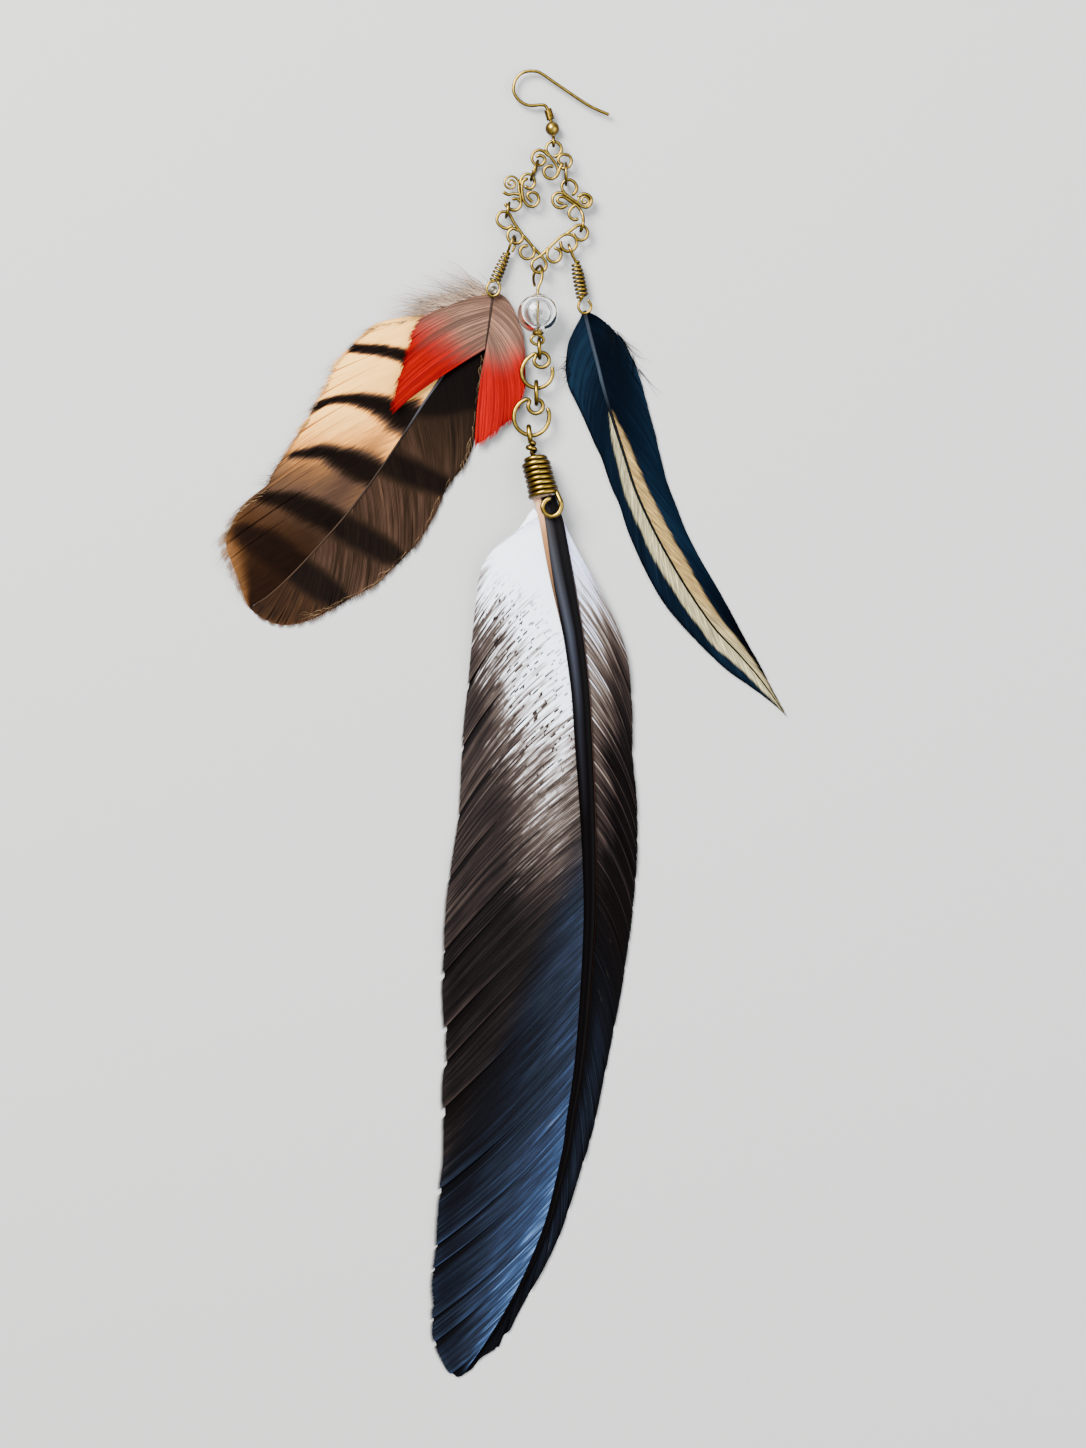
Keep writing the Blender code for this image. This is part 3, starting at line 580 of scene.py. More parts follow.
# %% Top connector
spine = [
    (10.19, 113.15), (11.11, 113.63), (11.47, 114.51), (11.27, 115.35), (10.59, 115.95),
    (9.83, 116.13), (9.12, 115.91), (8.56, 115.31), (8.44, 114.47), (8.92, 113.59),
    (9.71, 112.52), (10.51, 111.32), (10.79, 110.24), (10.47, 109.25), (9.55, 108.69),
    (8.48, 109.01), (7.96, 109.93), (8.24, 110.88), (9.12, 111.28), (9.59, 111.16),
]
left_curl = [
    (8.78, 113.43), (8.00, 114.11), (7.08, 114.43), (6.13, 114.07), (5.61, 113.15),
    (5.73, 112.16), (6.48, 111.46), (7.40, 111.48), (8.12, 112.12), (8.08, 112.88),
    (7.40, 113.35), (6.68, 113.19),
]
right_curl = [
    (11.63, 111.60), (10.99, 111.92), (10.83, 112.68), (11.31, 113.35), (12.19, 113.59),
    (13.14, 113.15), (13.46, 112.24), (13.10, 111.28), (12.27, 110.80), (11.79, 110.80),
]
strut = [(11.63, 111.56), (11.15, 110.80), (10.95, 110.04), (10.55, 109.33)]
cast("top_scroll", [spine, left_curl, right_curl, strut])

# %% [markdown]
# The left connector ends in a tight spiral of nearly two turns. Placing points along
# it by hand would make it wobble, so it is worked out as a spiral and runs on into the
# stem. Its start is filed thinner, as the narrow coils show.

# %% Left connector
inner_end = spiral((1.36, 107.79), 1.60, 0.34, -8, 1.75)
stem = inner_end[::-1] + [
    (2.98, 106.66), (3.25, 105.36), (3.39, 104.06), (3.25, 103.15), (2.54, 102.49),
    (1.70, 102.47), (0.90, 102.87), (0.34, 103.59),
]
lip = [(3.29, 104.14), (2.70, 104.66), (1.94, 104.66)]
arch = [
    (3.33, 107.75), (3.45, 108.73), (4.13, 109.51), (5.09, 109.61), (5.85, 108.97),
    (6.13, 107.93), (5.73, 106.97), (4.93, 106.74), (4.37, 107.09),
]
return_curl = [
    (4.53, 108.65), (3.83, 108.19), (3.61, 107.05), (3.69, 105.66), (4.01, 104.34),
    (4.73, 103.43), (5.77, 103.15), (6.68, 103.75), (6.96, 104.78), (6.52, 105.70),
    (5.53, 106.06), (4.77, 105.70), (4.81, 104.98), (5.49, 104.26),
]
bar = [(0.03, 105.98), (0.82, 105.54), (2.02, 105.70), (3.14, 105.54)]
cast("left_scroll", [stem, arch, return_curl, bar, lip], slim=(13.0,))

# %% [markdown]
# The right connector is a wide S with a spiral eye at one end. Its lowest arm doesn't
# lie flat: it climbs, arches over and dips through the first curl of the frame below,
# which is how the two hang together. That arm is given heights of its own.

# %% Right connector
spine = [
    (13.70, 105.46), (14.44, 106.38), (14.38, 107.53), (13.50, 108.39), (12.46, 108.41),
    (11.71, 107.77), (11.57, 106.86), (12.11, 105.90), (13.14, 104.94), (14.50, 104.02),
    (15.77, 103.11), (16.69, 103.09), (17.37, 103.86), (17.41, 104.82), (16.69, 105.54),
    (15.69, 105.66), (14.96, 105.22),
]
eye_of_spine = spiral((16.05, 104.30), 1.32, 0.34, 145, 1.5)
outer_arc = [
    (12.39, 103.31), (11.39, 102.87), (10.31, 103.19), (9.71, 104.14), (9.83, 105.22),
    (10.67, 105.86), (11.71, 105.86), (12.50, 105.34),
]
small_c = [
    (14.18, 103.43), (13.50, 102.91), (12.98, 102.07), (13.10, 101.15), (13.86, 100.56),
    (14.58, 100.64),
]
tail = [
    (11.55, 103.79, 2.2), (10.87, 104.02, 2.2), (10.63, 104.66, 2.2), (11.11, 105.10, 2.2),
    (12.07, 105.02, 2.2), (13.30, 104.18, 2.2), (14.70, 103.15, 2.2), (15.53, 101.98, 2.3),
    (15.83, 100.59, 2.75), (15.76, 99.43, 3.1), (15.45, 98.53, 2.7), (15.30, 98.31, 2),
    (15.43, 98.73, 1.3), (15.63, 99.43, 1.15),
]
cast("right_scroll", [spine, eye_of_spine, outer_arc, small_c], tail, slim=(0, 9.0))

# %% [markdown]
# The lower connector is the largest: two bars that run down to a point at the bottom,
# with curls and a ring outside them that the drops hang from. Mirroring one half would
# save points, but left and right differ, as hand-bent patterns do, so each has its own.

# %% Lower connector
left_bar = [
    (1.52, 99.28), (0.42, 98.78), (-0.91, 99.50), (-1.39, 100.58), (-0.93, 101.79),
    (0.01, 102.17), (0.92, 101.79), (1.54, 100.91), (1.96, 100.02), (2.92, 98.68),
    (3.69, 97.49), (3.67, 96.63), (2.94, 95.91), (1.98, 95.95),
]
left_loop = [
    (2.66, 98.48), (1.86, 98.76), (1.02, 98.28), (0.74, 97.39), (1.00, 96.49), (1.62, 96.05),
]
left_curl = [
    (3.81, 97.37), (5.11, 95.97), (5.87, 94.89), (6.07, 93.98), (5.65, 93.10), (4.61, 92.70),
    (3.57, 93.18), (3.21, 94.18), (3.65, 95.09), (4.53, 95.33),
]
left_vertex = [
    (6.01, 94.89), (7.40, 93.38), (8.20, 92.34), (8.48, 91.50), (8.20, 90.67), (7.40, 90.07),
]
right_vertex = [
    (8.80, 94.77), (7.40, 93.42), (6.50, 92.90), (5.73, 92.20), (5.55, 91.23), (6.21, 90.23),
    (7.20, 89.99),
]
right_ring = [
    (12.56, 97.76), (13.78, 98.76), (14.78, 99.40), (15.77, 99.36), (16.57, 98.58),
    (16.69, 97.60), (16.17, 96.73), (15.28, 96.43), (14.46, 96.81), (13.90, 97.64),
]
right_bar = [
    (11.29, 95.97), (11.51, 95.01), (12.27, 94.34), (13.18, 94.26), (14.10, 94.77),
    (14.54, 95.81), (14.26, 96.89), (13.38, 97.51), (12.39, 97.62), (11.43, 97.21),
    (10.19, 96.09), (9.08, 94.97), (8.64, 93.98), (8.72, 92.98), (9.39, 92.22), (10.31, 92.10),
    (11.11, 92.70), (11.39, 93.70), (11.07, 94.49), (10.31, 94.85),
]
cast("lower_frame", [
    right_bar, right_ring, right_vertex, left_vertex, left_curl, left_bar, left_loop,
])

# %% [markdown]
# Jump rings join the connectors. They stand on edge, so that from above each shows as
# a short dark bar. A torus would do, turned into place; `edge_ring` carries the same
# wire round an upright circle, which keeps its place in the mesh and its up-facing field.

# %% Jump rings
JUMP_WIRE = 0.60
metal("top_left_link", [edge_ring((6.09, 110.30), 2.35, 70, 2.05, JUMP_WIRE)])
metal("top_right_link", [edge_ring((12.39, 109.59), 2.45, 90, 2.14, JUMP_WIRE)])
metal("lower_left_link", [edge_ring((0.76, 102.47), 2.0, 77, 1.50, JUMP_WIRE)])

# %% [markdown]
# ## The three ties
#
# A tie is the winding that grips a quill. It is one wire: an eye hooked through the
# connector, turns that widen over the quill, and an end ring bent back on top. A
# stack of rings would look much the same from above, but the turns of a real tie
# lean, and its wire can be followed from end to end. So the three parts are joined
# into one path before the wire is drawn.
#
# The left tie holds the barred and the red feather together.

# %% Left tie
TIE_HEIGHT, TIE_STEP = 1.65, 0.22
radii = (0.52, 0.78, 0.94, 0.94)
eye = [
    (1.69, 94.42, 1.3), (2.13, 95.34, 1.15), (2.25, 96.15, 1.2), (2.25, 96.91, 1.5),
    (2.10, 97.26, 2.1), (1.90, 96.88, 2.8), (1.55, 96.04, 3.1), (1.15, 95.11, 2.9),
    (0.98, 94.55, 2.4),
]
wound = coil((0.70, 94.17, TIE_HEIGHT), (-1.86, 88.29, TIE_HEIGHT), radii, 8, 90)
ring = flat([
    (-2.84, 88.01), (-3.38, 87.05), (-3.16, 85.94), (-2.36, 85.26), (-1.48, 85.46),
    (-0.85, 86.34), (-0.85, 87.37), (-1.12, 87.93),
], 2.7)
left_path = np.vstack([smooth(eye, WIRE_STEP), wound, smooth(ring, WIRE_STEP)])
metal("left_tie", [wire(smooth(left_path, TIE_STEP), 0.56)])

# %% [markdown]
# The right tie is a turn longer and lies a little lower at its ring, because the blue
# feather's quill is thin. It is made in the same way.

# %% Right tie
radii = (0.62, 1.02, 1.05, 1.05)
eye = [
    (13.71, 93.34, 1.35), (13.35, 94.47, 1.25), (13.03, 95.31, 1.5), (12.92, 95.59, 2.1),
    (13.02, 95.22, 2.75), (13.34, 94.34, 3.05), (13.77, 93.28, 2.9), (14.10, 92.62, 2.5),
]
wound = coil((14.28, 92.18, TIE_HEIGHT), (15.70, 85.09, TIE_HEIGHT), radii, 9, 90)
ring = [
    (15.10, 84.24, 2.25), (14.82, 83.13, 2.2), (15.38, 82.13, 2.2), (16.25, 81.88, 2.2),
    (17.17, 82.45, 2.2), (17.37, 83.53, 2.2), (16.85, 84.40, 2.25),
]
right_path = np.vstack([smooth(eye, WIRE_STEP), wound, smooth(ring, WIRE_STEP)])
metal("right_tie", [wire(smooth(right_path, TIE_STEP), 0.58)])

# %% [markdown]
# The long feather's tie is of wire nearly twice as heavy. Between its eye and the main
# turns it has a narrow neck of a turn and a half, and it rises along its length, to
# clear the thick shaft. Two coils with different radii make the neck and the body.

# %% Heavy tie
HEAVY_WIRE = 1.04
eye = [
    (5.17, 57.39, 1.55), (5.09, 58.34, 1.6), (4.99, 59.10, 2.1), (4.97, 59.24, 2.75),
    (4.99, 58.87, 3.4), (5.09, 58.00, 3.75), (5.17, 57.01, 3.7), (5.29, 56.41, 3.2),
]
neck = coil((5.33, 56.08, 2.45), (5.57, 54.27, 2.6), (0.60, 0.72), 1.5, 90)
radii = (1.5, 2.4, 2.45, 2.45, 2.45, 2.5, 2.6, 2.8)
wound = coil((6.05, 53.15, 2.75), (8.06, 45.42, 3.95), radii, 7.667, 270)
ring = [
    (11.29, 44.14, 5.9), (11.41, 43.03, 5.9), (10.77, 41.72, 5.9), (9.51, 41.16, 5.9),
    (8.28, 41.76, 5.9), (7.72, 42.99, 5.9), (8.12, 44.06, 5.85), (8.91, 44.66, 5.8),
]
heavy_path = np.vstack([smooth(eye, 0.4), neck, wound, smooth(ring, 0.4)])
metal("feather_tie", [wire(smooth(heavy_path, WIRE_STEP), HEAVY_WIRE, sides=18)])

# %% [markdown]
# ## Bead pin and chain
#
# The bead hangs on a pin of one wire: a teardrop bail through the point of the frame,
# a straight run down through the bead's bore, and an eye turned below it. The bead
# itself comes with the other turned parts at the end. The pin could be three pieces
# that touch; one path keeps it whole where it shows through the glass.

# %% Bead pin
bail = [
    (6.13, 87.30, 3.3), (5.89, 88.69, 1.8), (6.04, 89.98, 1.05), (6.64, 91.03, 1.3),
    (7.20, 91.36, 2.1), (7.56, 90.81, 2.95), (7.66, 89.73, 3.6), (7.48, 88.28, 4),
    (6.93, 87.00, 4.1), (6.75, 85.88, 4.1), (6.75, 82.10, 4.1), (6.75, 77.65, 4.1),
]
eye = [
    (7.24, 77.24, 3.9), (7.88, 76.70, 3.7), (7.80, 76.01, 3.5), (7.20, 75.54, 3.4),
    (6.41, 75.54, 3.4), (5.69, 75.90, 3.4), (5.39, 76.53, 3.45), (5.65, 77.08, 3.5),
    (6.09, 77.32, 3.5),
]
metal("bead_pin", [wire(smooth(bail + eye, CAST_STEP), 0.62)])

# %% [markdown]
# Below the pin, two rings on edge and two flat links take turns. Each flat link is a
# ring that isn't closed: its end curls inwards into a small loop for the ring above.
# The links differ, so each has its own row of points.

# %% Chain
CHAIN_HEIGHT = 2.7
metal("ring_1", [edge_ring((7.08, 74.74), 2.95, 92, 1.90, 0.84)])
metal("ring_2", [edge_ring((6.48, 65.95), 2.72, 90, 2.26, 0.90)])
link_1 = [
    (9.63, 70.84), (9.67, 69.44), (8.92, 67.93), (7.52, 67.05), (5.93, 67.01), (4.49, 67.81),
    (3.66, 69.25), (3.62, 70.84), (4.41, 72.43), (5.53, 73.43), (6.37, 73.79), (6.33, 73.11),
    (5.99, 72.43), (6.33, 71.60), (7.20, 71.06), (8.20, 71.22), (8.92, 71.95), (8.96, 72.95),
    (8.36, 73.75), (7.48, 74.03),
]
link_2 = [
    (8.80, 62.63), (9.06, 61.56), (8.80, 59.88), (7.80, 58.37), (6.21, 57.53), (4.53, 57.65),
    (2.94, 58.65), (2.10, 60.28), (2.10, 62.07), (2.82, 63.55), (3.90, 64.42), (4.73, 64.66),
    (5.13, 64.23), (4.85, 63.35), (5.29, 62.35), (6.29, 61.87), (7.36, 62.27), (7.80, 63.27),
    (7.44, 64.27), (6.41, 64.72),
]
metal("scroll_link_1", [wire(smooth(flat(link_1, CHAIN_HEIGHT), WIRE_STEP), 0.80)])
metal("scroll_link_2", [wire(smooth(flat(link_2, CHAIN_HEIGHT), WIRE_STEP), 0.86)])

# %% [markdown]
# ## How a feather is built
#
# A vane is a row of barbs that hold on to each other with barbules too small to see.
# One sheet with stripes on it would be light and quick. It would stay smooth at the
# margin, though, where a worn feather splits and frays. So each barb is a narrow
# ridged ribbon of its own, and they overlap like shingles.
#
# First come the lines that barbs follow. A barb leaves the shaft at one share of its
# length, ends at one share of the vane's outline, and bows a little on the way. Tables
# named `meet` list what belongs together: shaft share, outline share, bow, tip height.

# %% Lines of barbs
OUTLINE_STEP = 0.4


def outline(points):
    """A vane's outline: the rounded curve through its points."""
    return smooth(points, OUTLINE_STEP)


def shaft_line(rows):
    """A shaft from rows of x, y, half width, half height, underside height.

    The line is rounded; the other three run straight from row to row.
    """
    line = outline([r[:2] for r in rows])
    share = run_of([r[:2] for r in rows])
    here = np.linspace(0, 1, len(line))
    rest = [np.interp(here, share / share[-1], [r[k] for r in rows]) for k in (2, 3, 4)]
    return np.column_stack([line, *rest])


def barb_frame(shaft, edge, meet, side, order, s):
    """Points of barbs before they part into groups, and their two shares.

    A barb is root + s chord + 4 s (1 - s) bow outwards; its height falls from the
    shaft's flank to the tip with the power 0.75 of s.
    """
    meet = np.asarray(meet, float)
    index = meet[:, 0] + meet[:, 1]
    q = index[0] + order * (index[-1] - index[0])
    t, f, bow, tip_z = (np.interp(q, index, meet[:, k]) for k in range(4))
    base = at_shares(shaft, t)
    way = at_shares(np.gradient(shaft[:, :2], axis=0), t)
    way /= np.linalg.norm(way, axis=1)[:, None]
    across = np.column_stack([way[:, 1], -way[:, 0]]) * side
    root = base[:, :2] + across * base[:, 2:3] * 0.97
    chord = at_shares(edge, f) - root
    out = np.column_stack([chord[:, 1], -chord[:, 0]]) * side
    s = np.broadcast_to(s, (len(order), np.shape(s)[-1]))[..., None]
    plan = root[:, None] + chord[:, None] * s
    plan = plan + out[:, None] * (bow[:, None, None] * 4 * s * (1 - s))
    start = base[:, 4:5] + base[:, 3:4] * 0.9
    height = start + (tip_z[:, None] - start) * s[..., 0] ** 0.75
    return plan, height, t, f


print("outlines are stepped every", OUTLINE_STEP, "mm")

# %% [markdown]
# Barbs cling together in groups, and a group draws together towards its end. That
# opens the small splits of a worn vane. The groups could be placed by hand from the
# photograph; drawn at random between two limits, they keep the same look and no two
# are alike. The seeds are fixed, so that each run grows the same feather.

# %% Groups of barbs


def group_of(count, smallest, largest, random):
    """Splits a row of barbs into groups: group number, place in it (-1/2 to 1/2), size."""
    sizes = random.integers(smallest, largest + 1, count)
    sizes = sizes[: np.searchsorted(np.cumsum(sizes), count) + 1]
    number = np.repeat(np.arange(len(sizes)), sizes)[:count]
    first = np.r_[0, np.cumsum(sizes)][number]
    return number, (np.arange(count) - first + 0.5) / sizes[number] - 0.5, sizes[number]


def gathered(plan, height, edge, t, f, s, groups, gather, roll, ragged, random):
    """Barbs drawn together group by group: plan, height, group numbers and places.

    Tips shift along the outline towards the group's middle by a share of gather, which
    is given at shares 0, 1/2 and 1 of the shaft. Each barb ends a little short or long
    by ragged, and each group tilts about its own line by roll.
    """
    number, place, size = group_of(len(t), *groups, random)
    total = number[-1] + 1
    pull = np.interp(t, (0, 0.5, 1), gather) * random.uniform(0.1, 1.0, total)[number]
    shift = at_shares(edge, f - pull * place * size * np.gradient(f)) - at_shares(edge, f)
    begin = random.uniform(0.25, 0.7, total)[number][:, None]
    drawn = ease(begin, 1.15, s[None])[..., None]
    own = random.normal(0, 1, len(t))
    uneven = random.normal(0, 0.5, total)[number]
    reach = 1 + ragged * (0.7 + uneven + 0.35 * own - np.abs(2 * place) ** 3)
    longer = 1 + (reach[:, None, None] - 1) * s[None, :, None] ** 2
    plan = plan[:, :1] + (plan - plan[:, :1]) * longer
    plan = plan + shift[:, None] * drawn
    wave = random.normal(0, 1, total)[number][:, None]
    height = height + roll * (wave * 0.4 + place[:, None]) * ease(0.1, 0.8, s)[None]
    return plan, height + 0.02 * own[:, None] * s[None], number, place


def streak_field(count, s, random, knots=7):
    """Values 0 to 1 that drift along each barb and are shared by its neighbours.

    Random knots are averaged over three barbs, joined by straight lines and stretched.
    """
    raw = random.uniform(0, 1, (count + 2, knots))
    raw = 0.25 * raw[:-2] + 0.5 * raw[1:-1] + 0.25 * raw[2:]
    x = s * (knots - 1)
    low = np.minimum(x.astype(int), knots - 2)
    between = raw[:, low] + (x - low) * (raw[:, low + 1] - raw[:, low])
    return np.clip(0.5 + 1.5 * (between - 0.5), 0, 1)


print("groups of the first twelve barbs:", group_of(12, 3, 5, np.random.default_rng(1))[0])

# %% [markdown]
# A barb could be a round wire, but a third of its points would be hidden below. A
# ribbon has four points across, with the middle two raised into a ridge that catches
# the light. It carries fields for the materials, and each feather adds its own colour
# fields through `marks`.

# %% Ribbons
ACROSS = np.array([-1.0, -0.25, 0.25, 1.0])
RAISED = np.array([0.0, 1.0, 1.0, 0.0])
THIN_TIP = 0.25
LOWEST_RIBBON, LOWEST_SHEET = 0.05, 0.03


def marked(fields, marks, where, length, s, order):
    """The fields flattened, with the colour fields and the map along and across barbs."""
    fields.update(marks(fields, where))
    fields = {k: v.reshape(-1) for k, v in fields.items()}
    uv = np.stack(np.broadcast_arrays(s[None] * length[:, None], order[:, None]), -1)
    if where.ndim == 4:
        uv = uv[:, :, None]
    fields["uv"] = np.broadcast_to(uv, where.shape).reshape(-1, 2)
    return fields


def ribbons(frame_of, count, steps, side, edge, groups, gather, marks, random, style):
    """A vane's barbs: each row is the gap to its neighbour times width, about the barb.

    Heights are the barb's, plus ridge on the two middle points, less towards the tip.
    """
    ridge, width, roll, ragged, taper = style
    s = np.linspace(0, 1, steps) ** 0.9
    plan, height, t, f = frame_of(np.linspace(0, 1, count), s)
    step = np.gradient(plan, axis=0)
    plan, height, number, place = gathered(
        plan, height, edge, t, f, s, groups, gather, roll, ragged, random
    )
    thin = 1 - (1 - THIN_TIP) * ease(taper, 1.0, s)
    spread = step * (width * thin[None, :, None])
    flat_part = plan[:, :, None] + spread[:, :, None] * ACROSS[:, None]
    tall = height[..., None] + (ridge * RAISED - 0.06 * ACROSS) * (1 - 0.5 * s[None, :, None])
    tall = np.maximum(tall, LOWEST_RIBBON)[..., None]
    points = np.concatenate([flat_part, tall], axis=-1)
    shape = (count, steps, 4)
    at = np.arange(count * steps * 4).reshape(shape)
    quads = np.stack([at[:, :-1, :-1], at[:, :-1, 1:], at[:, 1:, 1:], at[:, 1:, :-1]], axis=-1)
    if side > 0:
        quads = quads[..., ::-1]
    fields = {
        "along": s[None, :, None],
        "down": t[:, None, None],
        "own": random.uniform(0, 1, count)[:, None, None],
        "group": random.uniform(0, 1, number[-1] + 1)[number][:, None, None],
        "place": place[:, None, None],
        "streak": streak_field(count, s, random)[..., None],
        "crest": RAISED,
    }
    fields = {k: np.broadcast_to(v, shape) for k, v in fields.items()}
    length = np.linalg.norm(plan[:, -1] - plan[:, 0], axis=1)
    where = np.broadcast_to(plan[:, :, None], (*shape, 2))
    fields = marked(fields, marks, where, length, s, np.arange(count))
    return points.reshape(-1, 3), quads.reshape(-1, 4), fields


print("a ribbon has", len(ACROSS), "points across")

# %% [markdown]
# Under the ribbons lies one sheet, which stands for the web of barbules. It takes the
# vane's colours at the darkness of a barb's edge, so where groups of barbs part it also
# fills the splits with painted shade. Without it the table would show between the barbs,
# and closing every gap with ribbons would take several times as many. The sheet needs a
# third of the rows.

# %% Web and vane


def web(frame_of, count, steps, side, marks):
    """The sheet below the barbs, 0.16 mm under them at the shaft and 0.26 at the tips."""
    order = np.linspace(0, 1, count // 3)
    s = np.linspace(0, 0.97, steps // 2)
    plan, height, t, f = frame_of(order, s)
    under = np.maximum(height - 0.16 - 0.1 * s[None], LOWEST_SHEET)
    points = np.concatenate([plan, under[..., None]], axis=-1)
    # In the vane materials that lighten barb ridges, crest 0 gives the sheet the darker colour of
    # a barb's edge: painted shade where the splits open.
    fields = {
        "along": s[None], "down": t[:, None], "own": 0.3, "group": 0.3, "place": -0.1,
        "streak": 0.4, "crest": 0.0,
    }
    fields = {k: np.broadcast_to(v, under.shape) for k, v in fields.items()}
    length = np.linalg.norm(plan[:, -1] - plan[:, 0], axis=1)
    fields = marked(fields, marks, plan, length, s, order * count)
    quads = grid_quads(*under.shape)
    return points.reshape(-1, 3), quads[:, ::-1] if side > 0 else quads, fields


def vane(shaft, edge, meet, side, count, steps, groups, gather, marks, seed,
         ridge=0.10, width=0.62, roll=0.16, ragged=0.02, taper=0.9):
    """One vane: its ribbons and the web below them; side is 1 for left, -1 for right."""

    def frame_of(order, s):
        """This vane's barbs at the places in order, with steps s along each."""
        return barb_frame(shaft, edge, meet, side, order, s)

    style = ridge, width, roll, ragged, taper
    random = np.random.default_rng(seed)
    barbs = ribbons(frame_of, count, steps, side, edge, groups, gather, marks, random, style)
    return [barbs, web(frame_of, count, steps, side, marks)]


def centred(f):
    """The random fields own, group and streak, less a half each."""
    return f["own"] - 0.5, f["group"] - 0.5, f["streak"] - 0.5


print("the web lies at least", LOWEST_SHEET, "mm up")

# %% [markdown]
# The shaft could be a wire of round section. A real one is oval and a little flatter
# below, and its two flanks are coloured apart, so it is its own form with a field
# `around` that tells left from right.

# %% Rachis
RACHIS_STEPS = 260


def rachis(shaft, sides=24):
    """The shaft: an oval section, flatter below, carried along its line.

    Across it is half width times cos a to the 0.85, upwards underside + half height
    (1 + sin a). Field around is cos a, from -1 on its left flank to 1 on its right.
    """
    share = np.linspace(0, 1, RACHIS_STEPS)
    rows = at_shares(shaft, share)
    way = np.gradient(rows[:, :2], axis=0)
    way /= np.linalg.norm(way, axis=1)[:, None]
    across = np.column_stack([-way[:, 1], way[:, 0]])
    a = 2 * np.pi * (np.arange(sides) + 0.5) / sides
    c, h = np.cos(a), np.sin(a)
    wide = np.sign(c) * np.abs(c) ** 0.85 * rows[:, 2:3]
    tall = rows[:, 4:5] + rows[:, 3:4] * (1 + np.where(h > 0, 1.0, 0.9) * h)
    plan = rows[:, None, :2] + across[:, None] * wide[..., None]
    points = np.concatenate([plan, tall[..., None]], axis=-1)
    fields = {"around": c, "down": share[:, None], "crest": h}
    fields = {k: np.broadcast_to(v, tall.shape).ravel() for k, v in fields.items()}
    return points.reshape(-1, 3), grid_quads(len(share), sides, wrap_columns=True), fields


def plume(name, parts, look, slot, *solids):
    """A piece of feather, which always moves with the pendant."""
    return piece(name, parts, look, "pendant", solids)


print("a shaft has", RACHIS_STEPS, "rings")

# %% [markdown]
# ## The vulture feather
#
# Its shaft is thick and glossy black. The broad left vane is white at the base,
# streaked brown further out and dark blue lower down, with a blue-grey sheen along the
# shaft that is a painted reflection. The narrow right vane is streaked brown above and
# nearly black below.
#
# The lines of shaft and outlines were read off the photograph, point by point. A
# mirrored shape would be less work, but the two vanes of a flight feather differ, and
# this one is worn. Rows of the shaft hold its widths and its height off the table too.

# %% Lines of the vulture feather
long_shaft = shaft_line([
    (8.20, 45.13, 2.10, 1.05, 3.00), (8.90, 42.34, 2.30, 1.15, 2.80),
    (9.60, 39.54, 2.42, 1.25, 2.50), (10.68, 33.75, 2.46, 1.25, 1.80),
    (11.83, 27.96, 2.42, 1.20, 1.15), (13.11, 21.77, 2.22, 1.20, 0.75),
    (14.03, 16.78, 2.08, 1.20, 0.50), (15.31, 6.39, 1.94, 1.15, 0.05),
    (15.97, -4.19, 1.86, 1.10, 0.02), (16.63, -15.18, 1.66, 1.05, 0.02),
    (17.05, -26.16, 1.45, 1.00, 0.02), (17.19, -36.15, 1.28, 0.94, 0.02),
    (16.93, -43.94, 1.20, 0.86, 0.02), (16.39, -52.72, 1.12, 0.80, 0.02),
    (15.69, -61.51, 1.04, 0.72, 0.02), (14.71, -70.30, 0.92, 0.64, 0.02),
    (13.27, -79.08, 0.80, 0.58, 0.02), (12.53, -84.48, 0.74, 0.54, 0.02),
    (10.92, -91.47, 0.66, 0.50, 0.02), (9.06, -98.66, 0.60, 0.45, 0.02),
    (6.80, -104.77, 0.54, 0.40, 0.02), (3.89, -111.24, 0.48, 0.36, 0.02),
    (0.85, -116.83, 0.38, 0.30, 0.02), (-2.01, -121.52, 0.30, 0.26, 0.02),
    (-6.42, -127.93, 0.18, 0.20, 0.02), (-8.38, -130.21, 0.08, 0.12, 0.02),
])
long_left = outline([
    (8.20, 42.34), (5.96, 42.82), (3.17, 39.16), (0.37, 36.65), (-2.17, 34.69), (-3.84, 32.43),
    (-4.82, 29.92), (-5.38, 27.68), (-5.52, 25.44), (-6.08, 20.11), (-6.64, 14.50),
    (-7.34, 7.51), (-8.18, -0.80), (-8.74, -7.79), (-9.29, -17.63), (-10.27, -24.62),
    (-11.27, -30.79), (-11.97, -37.25), (-12.67, -49.73), (-12.51, -57.12), (-12.07, -66.10),
    (-12.67, -73.23), (-12.57, -86.21), (-13.41, -93.34), (-14.13, -104.05), (-14.85, -111.18),
    (-14.61, -116.17), (-14.85, -118.67), (-14.49, -123.66), (-12.35, -127.93),
    (-11.09, -129.73), (-9.31, -130.61), (-8.38, -130.21),
])
long_right = outline([
    (10.80, 41.54), (11.71, 40.84), (12.27, 38.60), (13.81, 34.95), (16.33, 31.31),
    (18.86, 27.40), (20.68, 23.77), (22.78, 19.27), (24.32, 15.06), (25.17, 10.30),
    (25.65, 4.79), (25.65, -0.80), (25.81, -7.81), (26.43, -13.42), (26.71, -19.03),
    (26.57, -27.44), (25.89, -36.55), (24.84, -44.81), (23.82, -51.52), (22.50, -58.59),
    (21.02, -65.90), (19.56, -73.23), (18.12, -80.08), (16.91, -84.44), (15.11, -90.15),
    (13.33, -95.84), (11.55, -101.19), (9.40, -106.18), (6.92, -110.82), (4.78, -114.39),
    (2.63, -118.31), (1.21, -121.16), (-0.21, -122.60), (-1.29, -124.74), (-4.50, -126.69),
    (-6.28, -128.83), (-8.38, -130.21),
])
